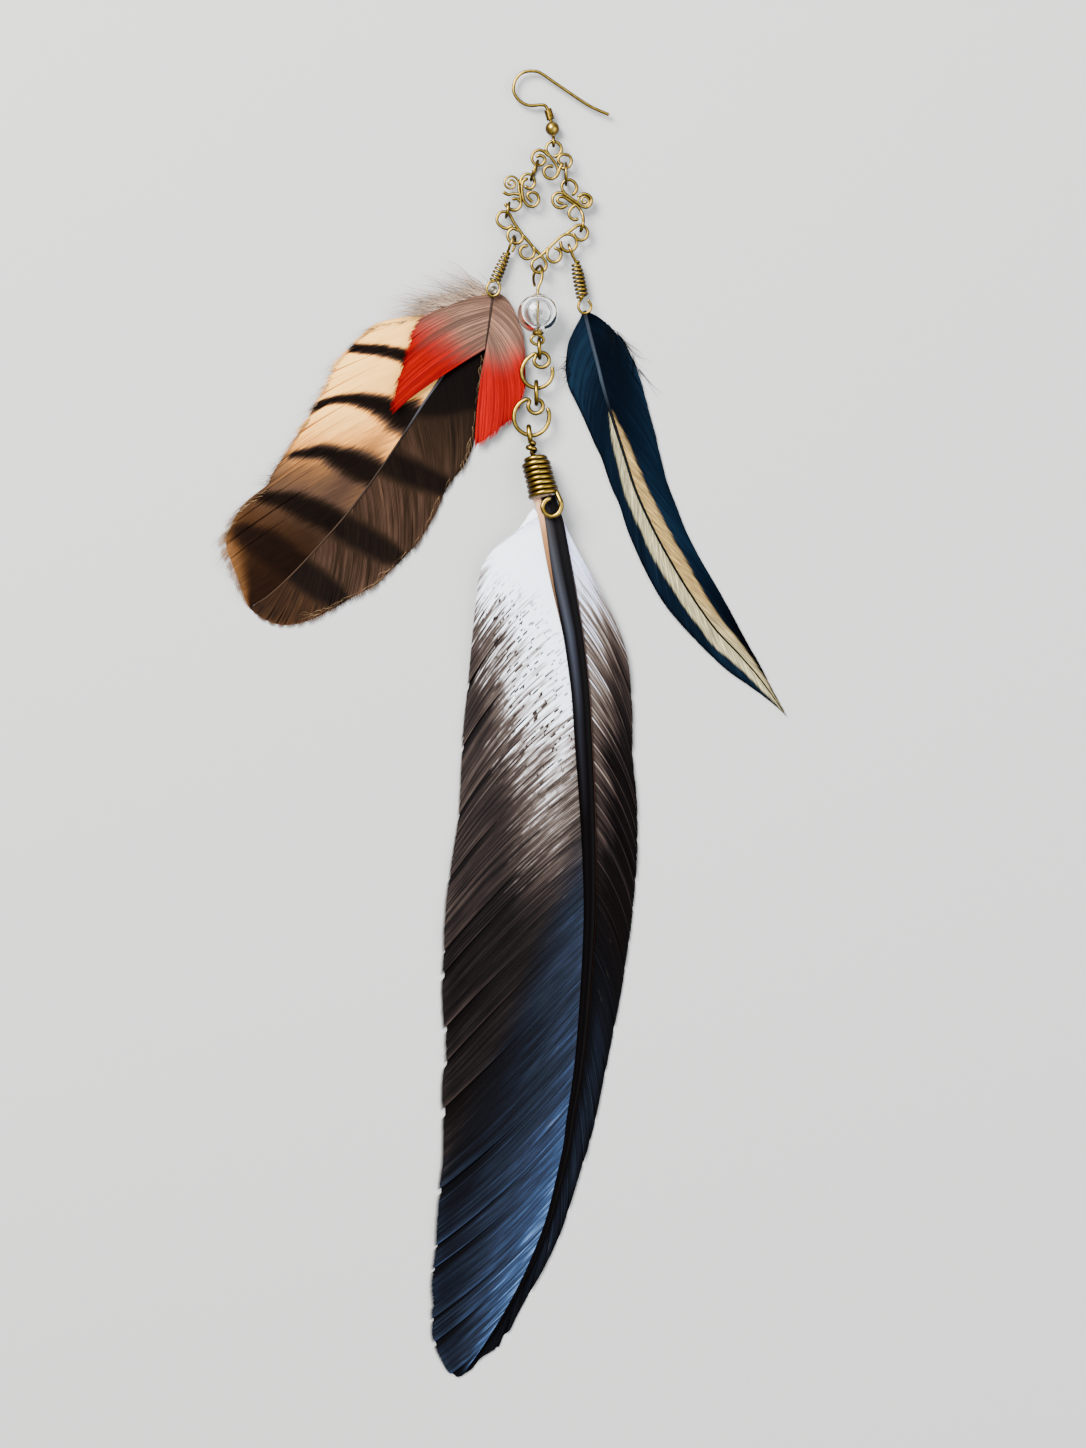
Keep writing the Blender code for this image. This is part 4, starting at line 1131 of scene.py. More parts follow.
left_meet = [
    (0.018, 0.014, 0.0, 3.2), (0.020, 0.06, 0.03, 2.6), (0.026, 0.115, 0.06, 1.9),
    (0.066, 0.18, 0.06, 1.2), (0.118, 0.262, 0.06, 0.8), (0.209, 0.368, 0.055, 0.55),
    (0.31, 0.472, 0.035, 0.45), (0.413, 0.583, 0.02, 0.4), (0.525, 0.697, 0.0, 0.4),
    (0.6, 0.765, -0.02, 0.4), (0.66, 0.812, -0.03, 0.4), (0.72, 0.86, -0.03, 0.4),
    (0.78, 0.908, -0.03, 0.4), (0.84, 0.947, -0.02, 0.4), (0.9, 0.971, -0.01, 0.35),
    (0.95, 0.985, 0.0, 0.3), (1.0, 1.0, 0.0, 0.2),
]
right_meet = [
    (0.022, 0.01, 0.0, 3.0), (0.026, 0.05, -0.02, 2.4), (0.034, 0.11, -0.01, 2.0),
    (0.07, 0.167, 0.02, 1.4), (0.118, 0.23, 0.05, 0.9), (0.209, 0.315, 0.06, 0.6),
    (0.31, 0.40, 0.06, 0.5), (0.413, 0.488, 0.06, 0.45), (0.5, 0.568, 0.05, 0.45),
    (0.55, 0.617, 0.04, 0.4), (0.6, 0.668, 0.03, 0.4), (0.65, 0.715, 0.02, 0.4),
    (0.7, 0.757, 0.02, 0.4), (0.76, 0.81, 0.02, 0.4), (0.82, 0.868, 0.01, 0.35),
    (0.88, 0.932, 0.0, 0.3), (0.94, 0.971, 0.0, 0.25), (1.0, 1.0, 0.0, 0.2),
]
print("shaft", round(run_of(long_shaft[:, :2])[-1], 1), "mm long")

# %% [markdown]
# A painted picture could carry the colours, but it would blur close up. They come from
# formulas instead, worked out at every point of every barb: `tone` is how light the
# brown is, `sheen` how light the blue-grey, which is the vane's dark blue with a painted
# reflection beside the shaft, and `blue` says how far one gives way to the other.
# `zone` is where white wins, `veil` greys the last of it, and `fleck` is where short
# dark dashes may appear.

# %% Colours of the left vane


def long_left_marks(f, where):
    """White base whose edge recedes towards the shaft, then brown, then dark blue under a painted
    blue-grey sheen.

    zone is above 0 inside the white's extent, and the material combs its edge into
    streaks. Brown and blue-grey are tables down the shaft times one plus a part of
    each random field. Painted glints (shine) light group rims, single barbs and the tips
    near the margin, and painted shade (gap) darkens the splits between groups.
    """
    u, t, place = f["along"], f["down"], f["place"]
    own, group, streak = centred(f)
    loose = 0.05 * group + 0.06 * place + 0.12 * streak
    extent = np.interp(
        t, (0, 0.05, 0.09, 0.14, 0.19, 0.24, 0.29, 0.4),
        (1.3, 0.90, 0.56, 0.43, 0.37, 0.27, 0.19, 0.16),
    )
    most = np.interp(t, (0.2, 0.24, 0.29, 0.345, 0.39, 0.43), (1.5, 0.6, 0.15, -0.4, -0.95, -1.5))
    most = most - 0.45 * ease(0.2, 0.28, t) * ease(0.14, 0.02, u)
    zone = np.minimum(np.clip((extent - u - loose) / 0.34, -1.5, 1.5), most + 2 * loose)
    away = u - extent
    dark = np.interp(
        t, (0, 0.05, 0.09, 0.19, 0.24, 0.29, 0.4, 0.45, 0.56, 0.7, 1),
        (90, 75, 54, 50, 40, 34, 25, 22, 25, 30, 34),
    ) / FULL
    dark = dark * (1 + 0.2 * ease(0.1, 0.2, t) * ease(0.4, 0.3, t))
    dark = dark + 0.24 * ease(0.4, -0.05, away) * ease(0.05, 0.12, t) * ease(0.46, 0.36, t)
    dark = dark * (1 + 0.15 * group + 0.7 * streak + 0.7 * own)
    # Painted shade on the first barbs of each group, in the splits; painted glints on the last
    # barbs of each group, a few single barbs and the tips near the margin.
    gap = 1 - 0.75 * ease(-0.28, -0.5, place) * ease(0.25, 0.8, u)
    shine = 0.5 * ease(0.94, 0.98, f["own"]) * ease(0.3, 0.6, u)
    shine = shine + ease(0.36, 0.5, place) * ease(0.3, 0.9, u)
    shine = 0.11 * (shine + 0.6 * ease(0.9, 0.98, u) * f["own"]) * ease(0.06, 0.14, t)
    dark = (dark + shine) * gap
    reach = np.interp(
        t, (0.3, 0.36, 0.42, 0.48, 0.53, 0.58, 0.64, 0.8),
        (-0.3, -0.08, 0.08, 0.3, 0.6, 0.85, 1.1, 1.3),
    )
    blue = ease(0.26, -0.16, u + loose - reach) * ease(0.32, 0.46, t)
    # Painted reflection: the blue-grey sheen is lightest beside the shaft and fades outwards over
    # the dark blue.
    peak = np.interp(
        t, (0.3, 0.5, 0.62, 0.68, 0.74, 0.8, 0.87, 0.95), (60, 64, 70, 90, 106, 132, 148, 128)
    ) / FULL
    fall = np.interp(t, (0.4, 0.56, 0.66, 1), (1.3, 1.2, 0.9, 0.9))
    sheen = peak * np.maximum(1 - fall * u + loose, 0.27)
    sheen = 0.95 * sheen * (1 + 0.15 * group + 0.4 * streak + 0.4 * own)
    sheen = (sheen + 1.3 * shine) * gap
    veil = np.interp(t, (0.22, 0.28, 0.34, 0.40, 0.46), (1, 0.84, 0.6, 0.42, 0.3))
    fleck = ease(0.03, 0.06, t) * ease(0.36, 0.26, t)
    fleck = fleck * ease(-0.5, -0.2, away) * ease(0.25, 0.05, away)
    return {
        "tone": np.clip(dark, 0, 1), "zone": zone, "blue": blue, "sheen": sheen,
        "fleck": fleck, "veil": veil,
    }


print("the left vane has six colour fields")

# %% [markdown]
# The right vane has no white zone and no flecks. Its brown is pale beside the shaft
# and darkens outwards, and both levels sink with the way down.

# %% Colours of the right vane


def long_right_marks(f, where):
    """Pale at the base, streaked brown with a darker margin, nearly black from midway.

    tone falls from a peak at the shaft to a dark margin over a width; all three are
    tables down the shaft.
    """
    u, t = f["along"], f["down"]
    own, group, streak = centred(f)
    places = (0, 0.06, 0.10, 0.157, 0.21, 0.27, 0.33)
    peak = np.interp(t, (*places, 0.39, 0.45), (240, 232, 214, 156, 140, 86, 54, 34, 16))
    dark = np.interp(t, (*places, 0.45), (200, 100, 50, 28, 20, 12, 8, 12))
    width = np.interp(t, places, (1.6, 1.15, 0.72, 0.82, 0.62, 0.38, 0.34))
    loose = 0.10 * group + 0.10 * f["place"] + 0.3 * streak * ease(0.0, 0.3, u)
    level = (dark + (peak - dark) * ease(width, 0.0, u + loose)) / FULL
    level = level * (1 + 0.6 * own * ease(0.02, 0.08, t))
    # Painted glints on a few single barbs, here and in the sheen below.
    level = level + 0.13 * ease(0.86, 0.95, f["own"]) * ease(0.03, 0.1, t) * ease(0.5, 0.3, t)
    # A faint painted sheen across the middle of the barbs lightens the blue-black lower half.
    sheen = 19 * ease(0.02, 0.4, u) * ease(1.0, 0.6, u) * ease(0.48, 0.58, t) * ease(0.92, 0.8, t)
    sheen = (9 + sheen) / FULL
    sheen = sheen * (1 + 0.8 * own) + 0.05 * ease(0.9, 0.96, f["own"])
    return {
        "tone": np.clip(level, 0, 1), "zone": -1.5 + 0 * u, "blue": ease(0.42, 0.55, t),
        "sheen": sheen, "fleck": 0.0 * u, "veil": 1 + 0.0 * u,
    }


print("the right vane fills the same fields")

# %% [markdown]
# The material lets a fine noise run along the barbs and multiplies it into the tones,
# so that each barb breaks up into lighter and darker lengths. One ramp holds the
# browns and one the blues. The same noise combs the edge of the white into streaks.
# Mixing finished colours would be simpler, but would give soft cloudy edges.

# %% Vane material of the vulture feather
long_vane, shader = new_material("vulture_vane", 0.40, Specular_IOR_Level=0.02)
streaks = noise(long_vane, (0.11, 0.66, 1), 4, on_barbs=True)
comb = times(minus(streaks, 0.5), 3.2)
white = plus(times(field(long_vane, "zone"), 0.8), comb)
white = at_most(reckon("MAXIMUM", plus(white, 0.5), 0.0), 1.0)
# Painted highlight and shade: each barb is lightened along its ridge and darkened towards its
# edges, in the colours here and in the white lines below.
crest = plus(times(field(long_vane, "crest"), 0.75), 0.5)
grain = times(plus(times(streaks, 1.4), 0.3), crest)
browns = ramp(times(field(long_vane, "tone"), grain), [
    (0.0, 4, 2, 2), (0.06, 17, 12, 12), (0.12, 36, 28, 26), (0.2, 60, 49, 46), (0.33, 98, 82, 74),
    (0.55, 150, 136, 127), (0.75, 198, 192, 188), (0.95, 242, 244, 248),
])
blues = ramp(times(field(long_vane, "sheen"), grain), [
    (0.0, 2, 2, 4), (0.07, 15, 17, 23), (0.145, 26, 35, 50), (0.26, 49, 62, 84),
    (0.31, 54, 75, 104), (0.42, 71, 104, 144), (0.52, 93, 132, 172), (0.8, 180, 200, 220),
])
colour = blend(field(long_vane, "blue"), browns, blues)
lines = plus(times(field(long_vane, "crest"), 0.16), 0.84)
lines = times(white, plus(lines, times(comb, 0.12)))
pale = ramp(times(lines, field(long_vane, "veil")), [
    (0.0, 112, 96, 88), (0.3, 164, 152, 146), (0.6, 212, 210, 210), (0.84, 232, 234, 236),
    (1.0, 245, 246, 247),
])
colour = blend(at_most(times(white, 1.8), 1.0), colour, pale)
dashes = noise(long_vane, (0.5, 1.1, 1), 1, on_barbs=True)
inked = times(reckon("GREATER_THAN", dashes, 0.62), field(long_vane, "fleck"))
paint(shader, blend(inked, colour, light(82, 64, 58)))
print(long_vane.name, "made of", len(long_vane.node_tree.nodes), "nodes")

# %% [markdown]
# The shaft is black horn, with a cold gleam along the top of its upper third that is a
# painted highlight. Its left flank is tan near the ring, and its right flank turns rusty.
# Four ramps down the shaft hold the colours, and `around` picks between them.

# %% Shaft material of the vulture feather
long_horn, shader = new_material("vulture_shaft", 0.28, Specular_IOR_Level=0.02)
down, around = field(long_horn, "down"), field(long_horn, "around")
horn = ramp(down, [(0.0, 34, 30, 31), (0.1, 20, 18, 20), (0.3, 7, 5, 5), (1.0, 6, 4, 4)])
# Painted highlight: the cold gleam, laid a little left of the top and fading down the shaft.
gleam = ramp(down, [
    (0.0, 96, 90, 90), (0.06, 104, 106, 114), (0.15, 96, 104, 120), (0.25, 50, 52, 60),
    (0.36, 14, 12, 13), (1.0, 7, 5, 5),
])
middle = times(reckon("ABSOLUTE", plus(around, 0.3)), 2.2)
horn = blend(minus(1.0, at_most(middle, 1.0)), horn, gleam)
tan = ramp(down, [
    (0.0, 226, 208, 194), (0.04, 206, 174, 142), (0.1, 158, 120, 86), (0.16, 90, 66, 52),
])
horn = blend(reckon("LESS_THAN", around, minus(times(down, -4.0), 0.36)), horn, tan)
rust = ramp(down, [
    (0.06, 20, 16, 16), (0.14, 150, 128, 118), (0.3, 120, 84, 66), (0.45, 74, 40, 24),
    (0.9, 30, 18, 12),
])
paint(shader, blend(times(reckon("GREATER_THAN", around, 0.86), 0.8), horn, rust))
pale_horn, shader = new_material("pale_quill", 0.35)
paint(shader, ramp(noise(pale_horn, (300, 60, 300)), [(0.3, 206, 186, 168), (0.7, 236, 226, 216)]))
print("horn and quill ready")

# %% [markdown]
# Now the feather itself: two vanes, the shaft, and the pale quill that sits inside the
# turns of its tie. The quill is a flattened wire that is thickest in the middle.

# %% Vulture feather
LONG = "dark_feather", "vulture_feather"
barbs = vane(long_shaft, long_left, left_meet, 1, 420, 34, (10, 42), (0.10, 0.2, 0.3),
             long_left_marks, 11, ragged=0.005, ridge=0.11, roll=0.24, taper=0.96)
plume("vulture_left_vane", barbs, long_vane, *LONG)
barbs = vane(long_shaft, long_right, right_meet, -1, 380, 26, (7, 26), (0.12, 0.2, 0.2),
             long_right_marks, 12, ragged=0.010, ridge=0.10, roll=0.2, taper=0.95)
plume("vulture_right_vane", barbs, long_vane, *LONG)
plume("vulture_shaft", [rachis(long_shaft)], long_horn, *LONG)
quill_line = smooth([
    (6.01, 51.17, 3.04), (6.80, 47.96, 3.4), (7.60, 45.58, 3.3), (8.20, 43.40, 3.1),
], 0.3)
here = np.linspace(0, 1, len(quill_line))
quill_wide = np.interp(here, (0, 0.4, 0.75, 1), (2.4, 3.6, 4.3, 3.4))
plume("vulture_quill", [wire(quill_line, quill_wide, sides=24, flatten=0.8)], pale_horn, *LONG)

# %% [markdown]
# ## The barred feather
#
# Cream and brown bars cross its left vane; its right vane is brown with darker bars.
# Its shaft is a thin tan line. The lines are read off the photograph as before.

# %% Lines of the barred feather
bar_shaft = shaft_line([
    (-2.19, 85.87, 0.34, 0.30, 0.75), (-4.78, 82.48, 0.32, 0.28, 0.35),
    (-7.58, 77.69, 0.30, 0.28, 0.05), (-12.29, 69.66, 0.28, 0.28, 0.02),
    (-15.93, 64.33, 0.26, 0.28, 0.02), (-20.42, 57.32, 0.22, 0.28, 0.02),
    (-27.15, 47.53, 0.20, 0.27, 0.02), (-32.68, 40.50, 0.18, 0.25, 0.02),
    (-41.09, 31.25, 0.15, 0.22, 0.02), (-46.72, 25.96, 0.12, 0.18, 0.02),
    (-49.78, 23.96, 0.08, 0.12, 0.02),
])
bar_left = outline([
    (-2.19, 86.67), (-6.78, 85.67), (-12.77, 83.68), (-18.76, 81.48), (-22.16, 80.88),
    (-25.75, 80.08), (-28.55, 78.09), (-31.06, 75.29), (-33.60, 72.93), (-35.22, 69.70),
    (-36.46, 67.02), (-38.29, 63.97), (-40.33, 60.11), (-41.37, 58.71), (-43.33, 55.36),
    (-45.56, 51.98), (-47.52, 48.93), (-48.38, 46.67), (-50.91, 44.97), (-53.13, 43.02),
    (-54.81, 40.50), (-56.51, 36.87), (-56.51, 34.89), (-55.65, 32.37), (-54.25, 29.30),
    (-52.31, 25.08), (-50.91, 23.13),
])
bar_right = outline([
    (-2.19, 86.67), (-2.98, 81.68), (-3.38, 78.68), (-3.58, 74.69), (-3.98, 68.70),
    (-4.38, 64.71), (-5.18, 60.71), (-6.40, 54.52), (-8.38, 50.61), (-11.45, 46.73),
    (-13.57, 41.74), (-16.76, 36.31), (-20.06, 32.65), (-23.15, 29.58), (-25.95, 27.04),
    (-29.88, 25.08), (-33.80, 22.85), (-38.29, 20.61), (-41.65, 19.63), (-45.00, 19.49),
    (-48.38, 20.89), (-50.91, 23.13),
])
bar_left_meet = [
    (0.0, 0.03, 0.0, 0.6), (0.012, 0.10, 0.02, 0.5), (0.03, 0.175, 0.02, 0.4),
    (0.06, 0.31, 0.03, 0.4), (0.10, 0.425, 0.03, 0.4), (0.15, 0.52, 0.03, 0.45),
    (0.2, 0.61, 0.03, 0.5), (0.3, 0.76, 0.03, 0.5), (0.4, 0.84, 0.03, 0.5),
    (0.5, 0.885, 0.03, 0.5), (0.6, 0.92, 0.03, 0.5), (0.7, 0.945, 0.02, 0.45),
    (0.8, 0.965, 0.0, 0.4), (0.9, 0.983, 0.0, 0.35), (1.0, 1.0, 0.0, 0.3),
]
bar_right_meet = [
    (0.0, 0.03, 0.0, 0.6), (0.02, 0.10, 0.03, 0.5), (0.05, 0.2, 0.04, 0.4),
    (0.1, 0.30, 0.05, 0.4), (0.2, 0.39, 0.05, 0.45), (0.28, 0.455, 0.05, 0.45),
    (0.35, 0.52, 0.05, 0.5), (0.42, 0.58, 0.05, 0.5), (0.49, 0.635, 0.05, 0.5),
    (0.55, 0.69, 0.05, 0.5), (0.62, 0.755, 0.05, 0.5), (0.69, 0.81, 0.05, 0.5),
    (0.75, 0.865, 0.05, 0.45), (0.82, 0.92, 0.04, 0.4), (0.88, 0.957, 0.02, 0.4),
    (0.95, 0.985, 0.0, 0.3), (1.0, 1.0, 0.0, 0.2),
]
print("shaft", round(run_of(bar_shaft[:, :2])[-1], 1), "mm long")

# %% [markdown]
# Bars could be stripes at even steps down the vane. On the real feather they bend,
# widen and fade, each in its own way. So each bar is a soft band about a listed line
# with its own half width at every point, and each barb shifts it a little.

# %% Bars
bars = [
    [
        (-30.34, 75.09, 1.0), (-27.15, 74.89, 1.1), (-23.95, 74.49, 1.2), (-21.16, 73.89, 1.4),
        (-18.36, 72.89, 1.6),
    ],
    [
        (-38.53, 63.11, 0.8), (-35.74, 64.31, 0.8), (-32.14, 64.90, 1.0), (-27.75, 64.51, 1.7),
        (-23.75, 63.11, 2.4), (-20.36, 61.11, 3.2), (-17.96, 61.11, 3.6),
    ],
    [
        (-42.33, 53.72, 0.7), (-38.73, 54.12, 1.1), (-35.74, 54.12, 1.7), (-31.34, 52.52, 2.6),
        (-27.15, 50.53, 2.9), (-24.55, 49.33, 3.0),
    ],
    [
        (-48.32, 45.33, 1.2), (-44.72, 44.73, 1.6), (-41.13, 43.74, 2.4), (-36.34, 41.54, 2.6),
        (-31.94, 39.14, 2.6),
    ],
    [
        (-53.51, 38.34, 2.0), (-50.31, 37.15, 2.6), (-47.12, 35.35, 3.3), (-43.72, 32.75, 3.2),
        (-40.73, 30.75, 3.0),
    ],
]
# The first band, widest by the shaft, runs along the lower edge of the red feather and is its
# painted shadow; the others are the vane's own bars.
right_bars_and_shadow = [
    [(-15.57, 67.70, 3.0), (-10.77, 68.70, 5.0), (-6.78, 70.70, 6.0), (-3.98, 71.69, 6.0)],
    [(-15.97, 64.31, 3.0), (-11.57, 64.31, 2.6), (-7.18, 65.10, 2.4)],
    [(-23.15, 52.32, 2.8), (-19.16, 50.33, 2.8), (-15.17, 48.73, 2.4), (-12.37, 47.53, 2.0)],
    [(-31.94, 39.14, 2.8), (-27.95, 36.95, 2.8), (-23.95, 34.55, 2.4), (-21.16, 33.15, 1.6)],
    [(-40.73, 30.36, 2.8), (-37.13, 27.76, 2.8), (-33.94, 25.56, 2.4), (-31.94, 23.96, 1.6)],
]


def band(lines, where, shift):
    """1 on the bars and 0 off them: ease of 1 - distance / half width + shift.

    shift moves each barb's stretch of the edge a little.
    """
    total = np.zeros(where.shape[:-1])
    x, y = where[..., 0], where[..., 1]
    for line in lines:
        rows = smooth(line, 1.0)
        gaps = np.hypot(x[..., None] - rows[:, 0], y[..., None] - rows[:, 1])
        near = gaps.argmin(-1)
        depth = 1 - gaps.min(-1) / rows[near, 2] + shift
        total = np.maximum(total, ease(-0.35, 0.4, depth))
    return total


print(len(bars) + len(right_bars_and_shadow), "bars")

# %% [markdown]
# Ground and bars share one field of lightness. Shares of the outline don't fit them,
# because the vane is so broad, so places are measured straight down the feather and
# straight off its shaft.

# %% Colours of the barred feather
HALF_VANE = 18


def down_and_off(where):
    """How far down the feather a place lies (0 to 1), and how far off its shaft line.

    The first is its share of the straight line from ring to tip, the second its
    distance from that line in half vanes.
    """
    start, end = bar_shaft[0, :2], bar_shaft[-1, :2]
    way = (end - start) / np.sum((end - start) ** 2)
    v = (where - start) @ way
    aside = where - start - v[..., None] * (end - start)
    return v, np.linalg.norm(aside, axis=-1) / HALF_VANE


def bar_left_marks(f, where):
    """Cream ground that turns grey-brown towards the tip, crossed by dark bars.

    tone is the ground, lifted at rim and at single pale barbs, less the bars.
    """
    u = f["along"]
    v, off = down_and_off(where)
    own, _, streak = centred(f)
    mix = 0.5 * streak + 0.3 * own
    w = v + 0.16 * (0.55 - off) + 0.06 * mix
    places = (0, 0.48, 0.57, 0.66, 0.76, 0.86, 1)
    ground = np.interp(w, places, (1.0, 0.97, 0.78, 0.48, 0.33, 0.18, 0.11))
    ground = ground - 0.16 * ease(0.35, 0.0, off) * ease(0.25, 0.4, v) * ease(0.7, 0.55, v)
    ground = ground * (1 + 0.30 * mix * ease(0.1, 0.6, off + v))
    ground = ground + 0.09 * ease(0.75, 1.0, off) * ease(0.8, 0.6, v)
    hair = ease(0.88, 0.95, f["own"]) * ease(0.3, 0.8, off)
    rim = ease(0.84, 1.0, u) * ease(0.78, 0.9, v)
    dark = band(bars, where, 0.5 * mix) * (1 - 0.85 * rim)
    tone = (ground + rim * (0.6 - ground)) * (1 - dark) + (0.06 + 0.05 * mix) * dark
    return {"tone": np.clip(tone + 0.14 * hair, 0, 1), "warm": ease(0.7, 0.88, v)}


def bar_right_marks(f, where):
    """Grey-brown ground with darker bars, a pale rim at the tip, and a painted shadow of the red
    feather near the ring.

    tone is a table down the feather times (1 + 0.9 mix), less 0.72 of the bars and the shadow
    band.
    """
    u = f["along"]
    v, off = down_and_off(where)
    own, _, streak = centred(f)
    mix = 0.5 * streak + 0.5 * own
    places = (0, 0.3, 0.4, 0.5, 0.7, 0.85, 1)
    # Darkest near the ring, partly a painted shadow of the red feather that lies over it.
    ground = np.interp(v, places, (0.10, 0.12, 0.17, 0.22, 0.23, 0.20, 0.14))
    ground = ground * (1 + 0.9 * mix) + 0.06 * ease(0.8, 1.0, u) * ease(0.4, 0.6, v)
    rim = ease(0.93, 1.0, u) * ease(0.6, 0.85, v)
    ground = ground + rim * (0.4 - ground)
    dark = 0.72 * band(right_bars_and_shadow, where, 0.5 * mix) * (1 - 0.8 * rim)
    tone = np.clip(ground * (1 - dark), 0, 1)
    return {"tone": tone, "warm": 0.05 + 0.6 * ease(0.8, 0.98, v)}


print("bars and ground share the field tone")

# %% [markdown]
# Two ramps turn that lightness into colour, a cool one from near-black brown to cream
# and a warmer one for the tip, where the real feather is tawny. One ramp would do for
# either end, but not for both.

# %% Barred feather
bar_vane, shader = new_material("barred_vane", 0.5, Specular_IOR_Level=0.02)
streaks = noise(bar_vane, (0.14, 1.0, 1), 4, on_barbs=True)
tone = times(field(bar_vane, "tone"), plus(times(streaks, 0.7), 0.65))
# Painted highlight along each barb's ridge, darker towards its edges.
tone = times(tone, plus(times(field(bar_vane, "crest"), 0.3), 0.8))
cool = ramp(tone, [
    (0.0, 4, 2, 1), (0.06, 22, 11, 6), (0.185, 64, 43, 29), (0.3, 106, 78, 58),
    (0.42, 146, 108, 76), (0.56, 194, 150, 104), (0.72, 226, 192, 150), (0.85, 243, 220, 190),
    (0.97, 251, 240, 222),
])
warm = ramp(tone, [
    (0.0, 5, 2, 0), (0.115, 50, 26, 10), (0.28, 112, 70, 32), (0.5, 176, 130, 80),
    (0.8, 226, 190, 142),
])
paint(shader, blend(field(bar_vane, "warm"), cool, warm))
bar_horn, shader = new_material("barred_shaft", 0.3, Specular_IOR_Level=0.05)
# The blue-grey patch about a third of the way down is a painted highlight.
paint(shader, ramp(field(bar_horn, "down"), [
    (0.0, 40, 32, 28), (0.2, 60, 56, 60), (0.3, 112, 112, 120), (0.42, 56, 44, 40),
    (0.6, 74, 54, 36), (1.0, 112, 80, 50),
]))
BARRED = "barred_feather", "banded_feather"
barbs = vane(bar_shaft, bar_left, bar_left_meet, 1, 250, 30, (3, 14), (0.3, 0.3, 0.3),
             bar_left_marks, 21, ragged=0.012, ridge=0.06, roll=0.10)
plume("barred_left_vane", barbs, bar_vane, *BARRED)
barbs = vane(bar_shaft, bar_right, bar_right_meet, -1, 230, 24, (3, 12), (0.2, 0.3, 0.4),
             bar_right_marks, 22, ragged=0.014, ridge=0.06, roll=0.10)
plume("barred_right_vane", barbs, bar_vane, *BARRED)
plume("barred_shaft", [rachis(bar_shaft, sides=12)], bar_horn, *BARRED)

# %% [markdown]
# ## The red feather
#
# It lies on the barred one, and its two vanes end apart, as two lobes. It is grey-brown
# by the ring and red at the ends, as if dipped in dye. Its shaft ends early, and the
# barbs fan out from there.

# %% Lines of the red feather
red_shaft = shaft_line([
    (-2.19, 85.47, 0.26, 0.20, 1.55), (-2.58, 82.68, 0.25, 0.20, 1.42),
    (-2.98, 79.68, 0.22, 0.18, 1.36), (-3.38, 77.09, 0.18, 0.16, 1.34),
    (-3.68, 74.89, 0.10, 0.12, 1.34),
])
red_left = outline([
    (-5.58, 85.28), (-8.92, 84.22), (-11.77, 83.18), (-14.53, 81.98), (-17.04, 80.58),
    (-18.44, 78.09), (-19.00, 75.81), (-19.86, 72.73), (-20.70, 70.50), (-21.56, 67.70),
    (-22.36, 64.05), (-21.96, 62.11), (-20.76, 63.41),
])
red_right = outline([
    (-0.79, 85.89), (0.89, 84.50), (2.85, 80.88), (3.97, 76.65), (4.25, 71.06), (3.97, 66.00),
    (1.73, 60.97), (0.05, 59.31), (-1.93, 57.88), (-3.60, 56.48), (-5.70, 55.08),
])
red_left_meet = [
    (0.0, 0.0, 0.05, 1.7), (0.03, 0.22, 0.05, 1.6), (0.10, 0.42, 0.07, 1.55),
    (0.3, 0.62, 0.08, 1.54), (0.6, 0.82, 0.06, 1.54), (0.85, 0.95, 0.03, 1.52),
    (1.0, 1.0, 0.015, 1.5),
]
red_right_meet = [
    (0.0, 0.0, 0.02, 1.7), (0.05, 0.18, 0.08, 1.6), (0.2, 0.42, 0.14, 1.55),
    (0.5, 0.68, 0.13, 1.54), (0.8, 0.9, 0.06, 1.54), (1.0, 1.0, -0.02, 1.5),
]
print("shaft", round(run_of(red_shaft[:, :2])[-1], 1), "mm long")

# %% [markdown]
# Dye creeps up a feather by its distance from where it was held. So the red begins at
# a distance from the ring, and every barb takes it up a little sooner or later. A
# change along each barb would be simpler, but would colour the short barbs too early.

# %% Red feather
RING = -2.19, 85.28


def red_marks(f, where):
    """Grey-brown near the ring, through pink, to red.

    red is an ease of the distance from the ring, sooner on the far left.
    """
    east, north = where[..., 0] - RING[0], where[..., 1] - RING[1]
    own, group, _ = centred(f)
    far = np.hypot(east, north) + (2.2 * group + 1.6 * own)
    red = ease(8.6, 16.5, far - 2.5 * (1.2 * ease(-8, -16, east)))
    return {"tone": 0.5 + 0.35 * own + 0.25 * group, "red": red}


red_vane, shader = new_material("red_vane", 0.5, Specular_IOR_Level=0.02)
streaks = noise(red_vane, (0.2, 0.8, 1), 4, on_barbs=True)
tone = times(field(red_vane, "tone"), plus(streaks, 0.5))
taupe = ramp(tone, [(0.1, 104, 80, 66), (0.5, 160, 128, 110), (0.85, 208, 182, 164)])
scarlet = ramp(tone, [(0.1, 140, 2, 0), (0.5, 200, 20, 2), (0.85, 228, 56, 22)])
paint(shader, blend(field(red_vane, "red"), taupe, scarlet))
red_horn, shader = new_material("red_shaft", 0.35, Specular_IOR_Level=0.05)
paint(shader, ramp(field(red_horn, "down"), [(0.0, 92, 68, 54), (1.0, 44, 26, 22)]))
RED = "red_feather", "red_feather"
barbs = vane(red_shaft, red_left, red_left_meet, 1, 130, 26, (4, 14), (0.3, 0.3, 0.3),
             red_marks, 31, ragged=0.02, ridge=0.05, roll=0.08, width=0.8)
plume("red_left_lobe", barbs, red_vane, *RED)
barbs = vane(red_shaft, red_right, red_right_meet, -1, 130, 26, (4, 14), (0.3, 0.3, 0.3),
             red_marks, 32, ragged=0.02, ridge=0.05, roll=0.08, width=0.8)
plume("red_right_lobe", barbs, red_vane, *RED)
plume("red_shaft", [rachis(red_shaft, sides=10)], red_horn, *RED)

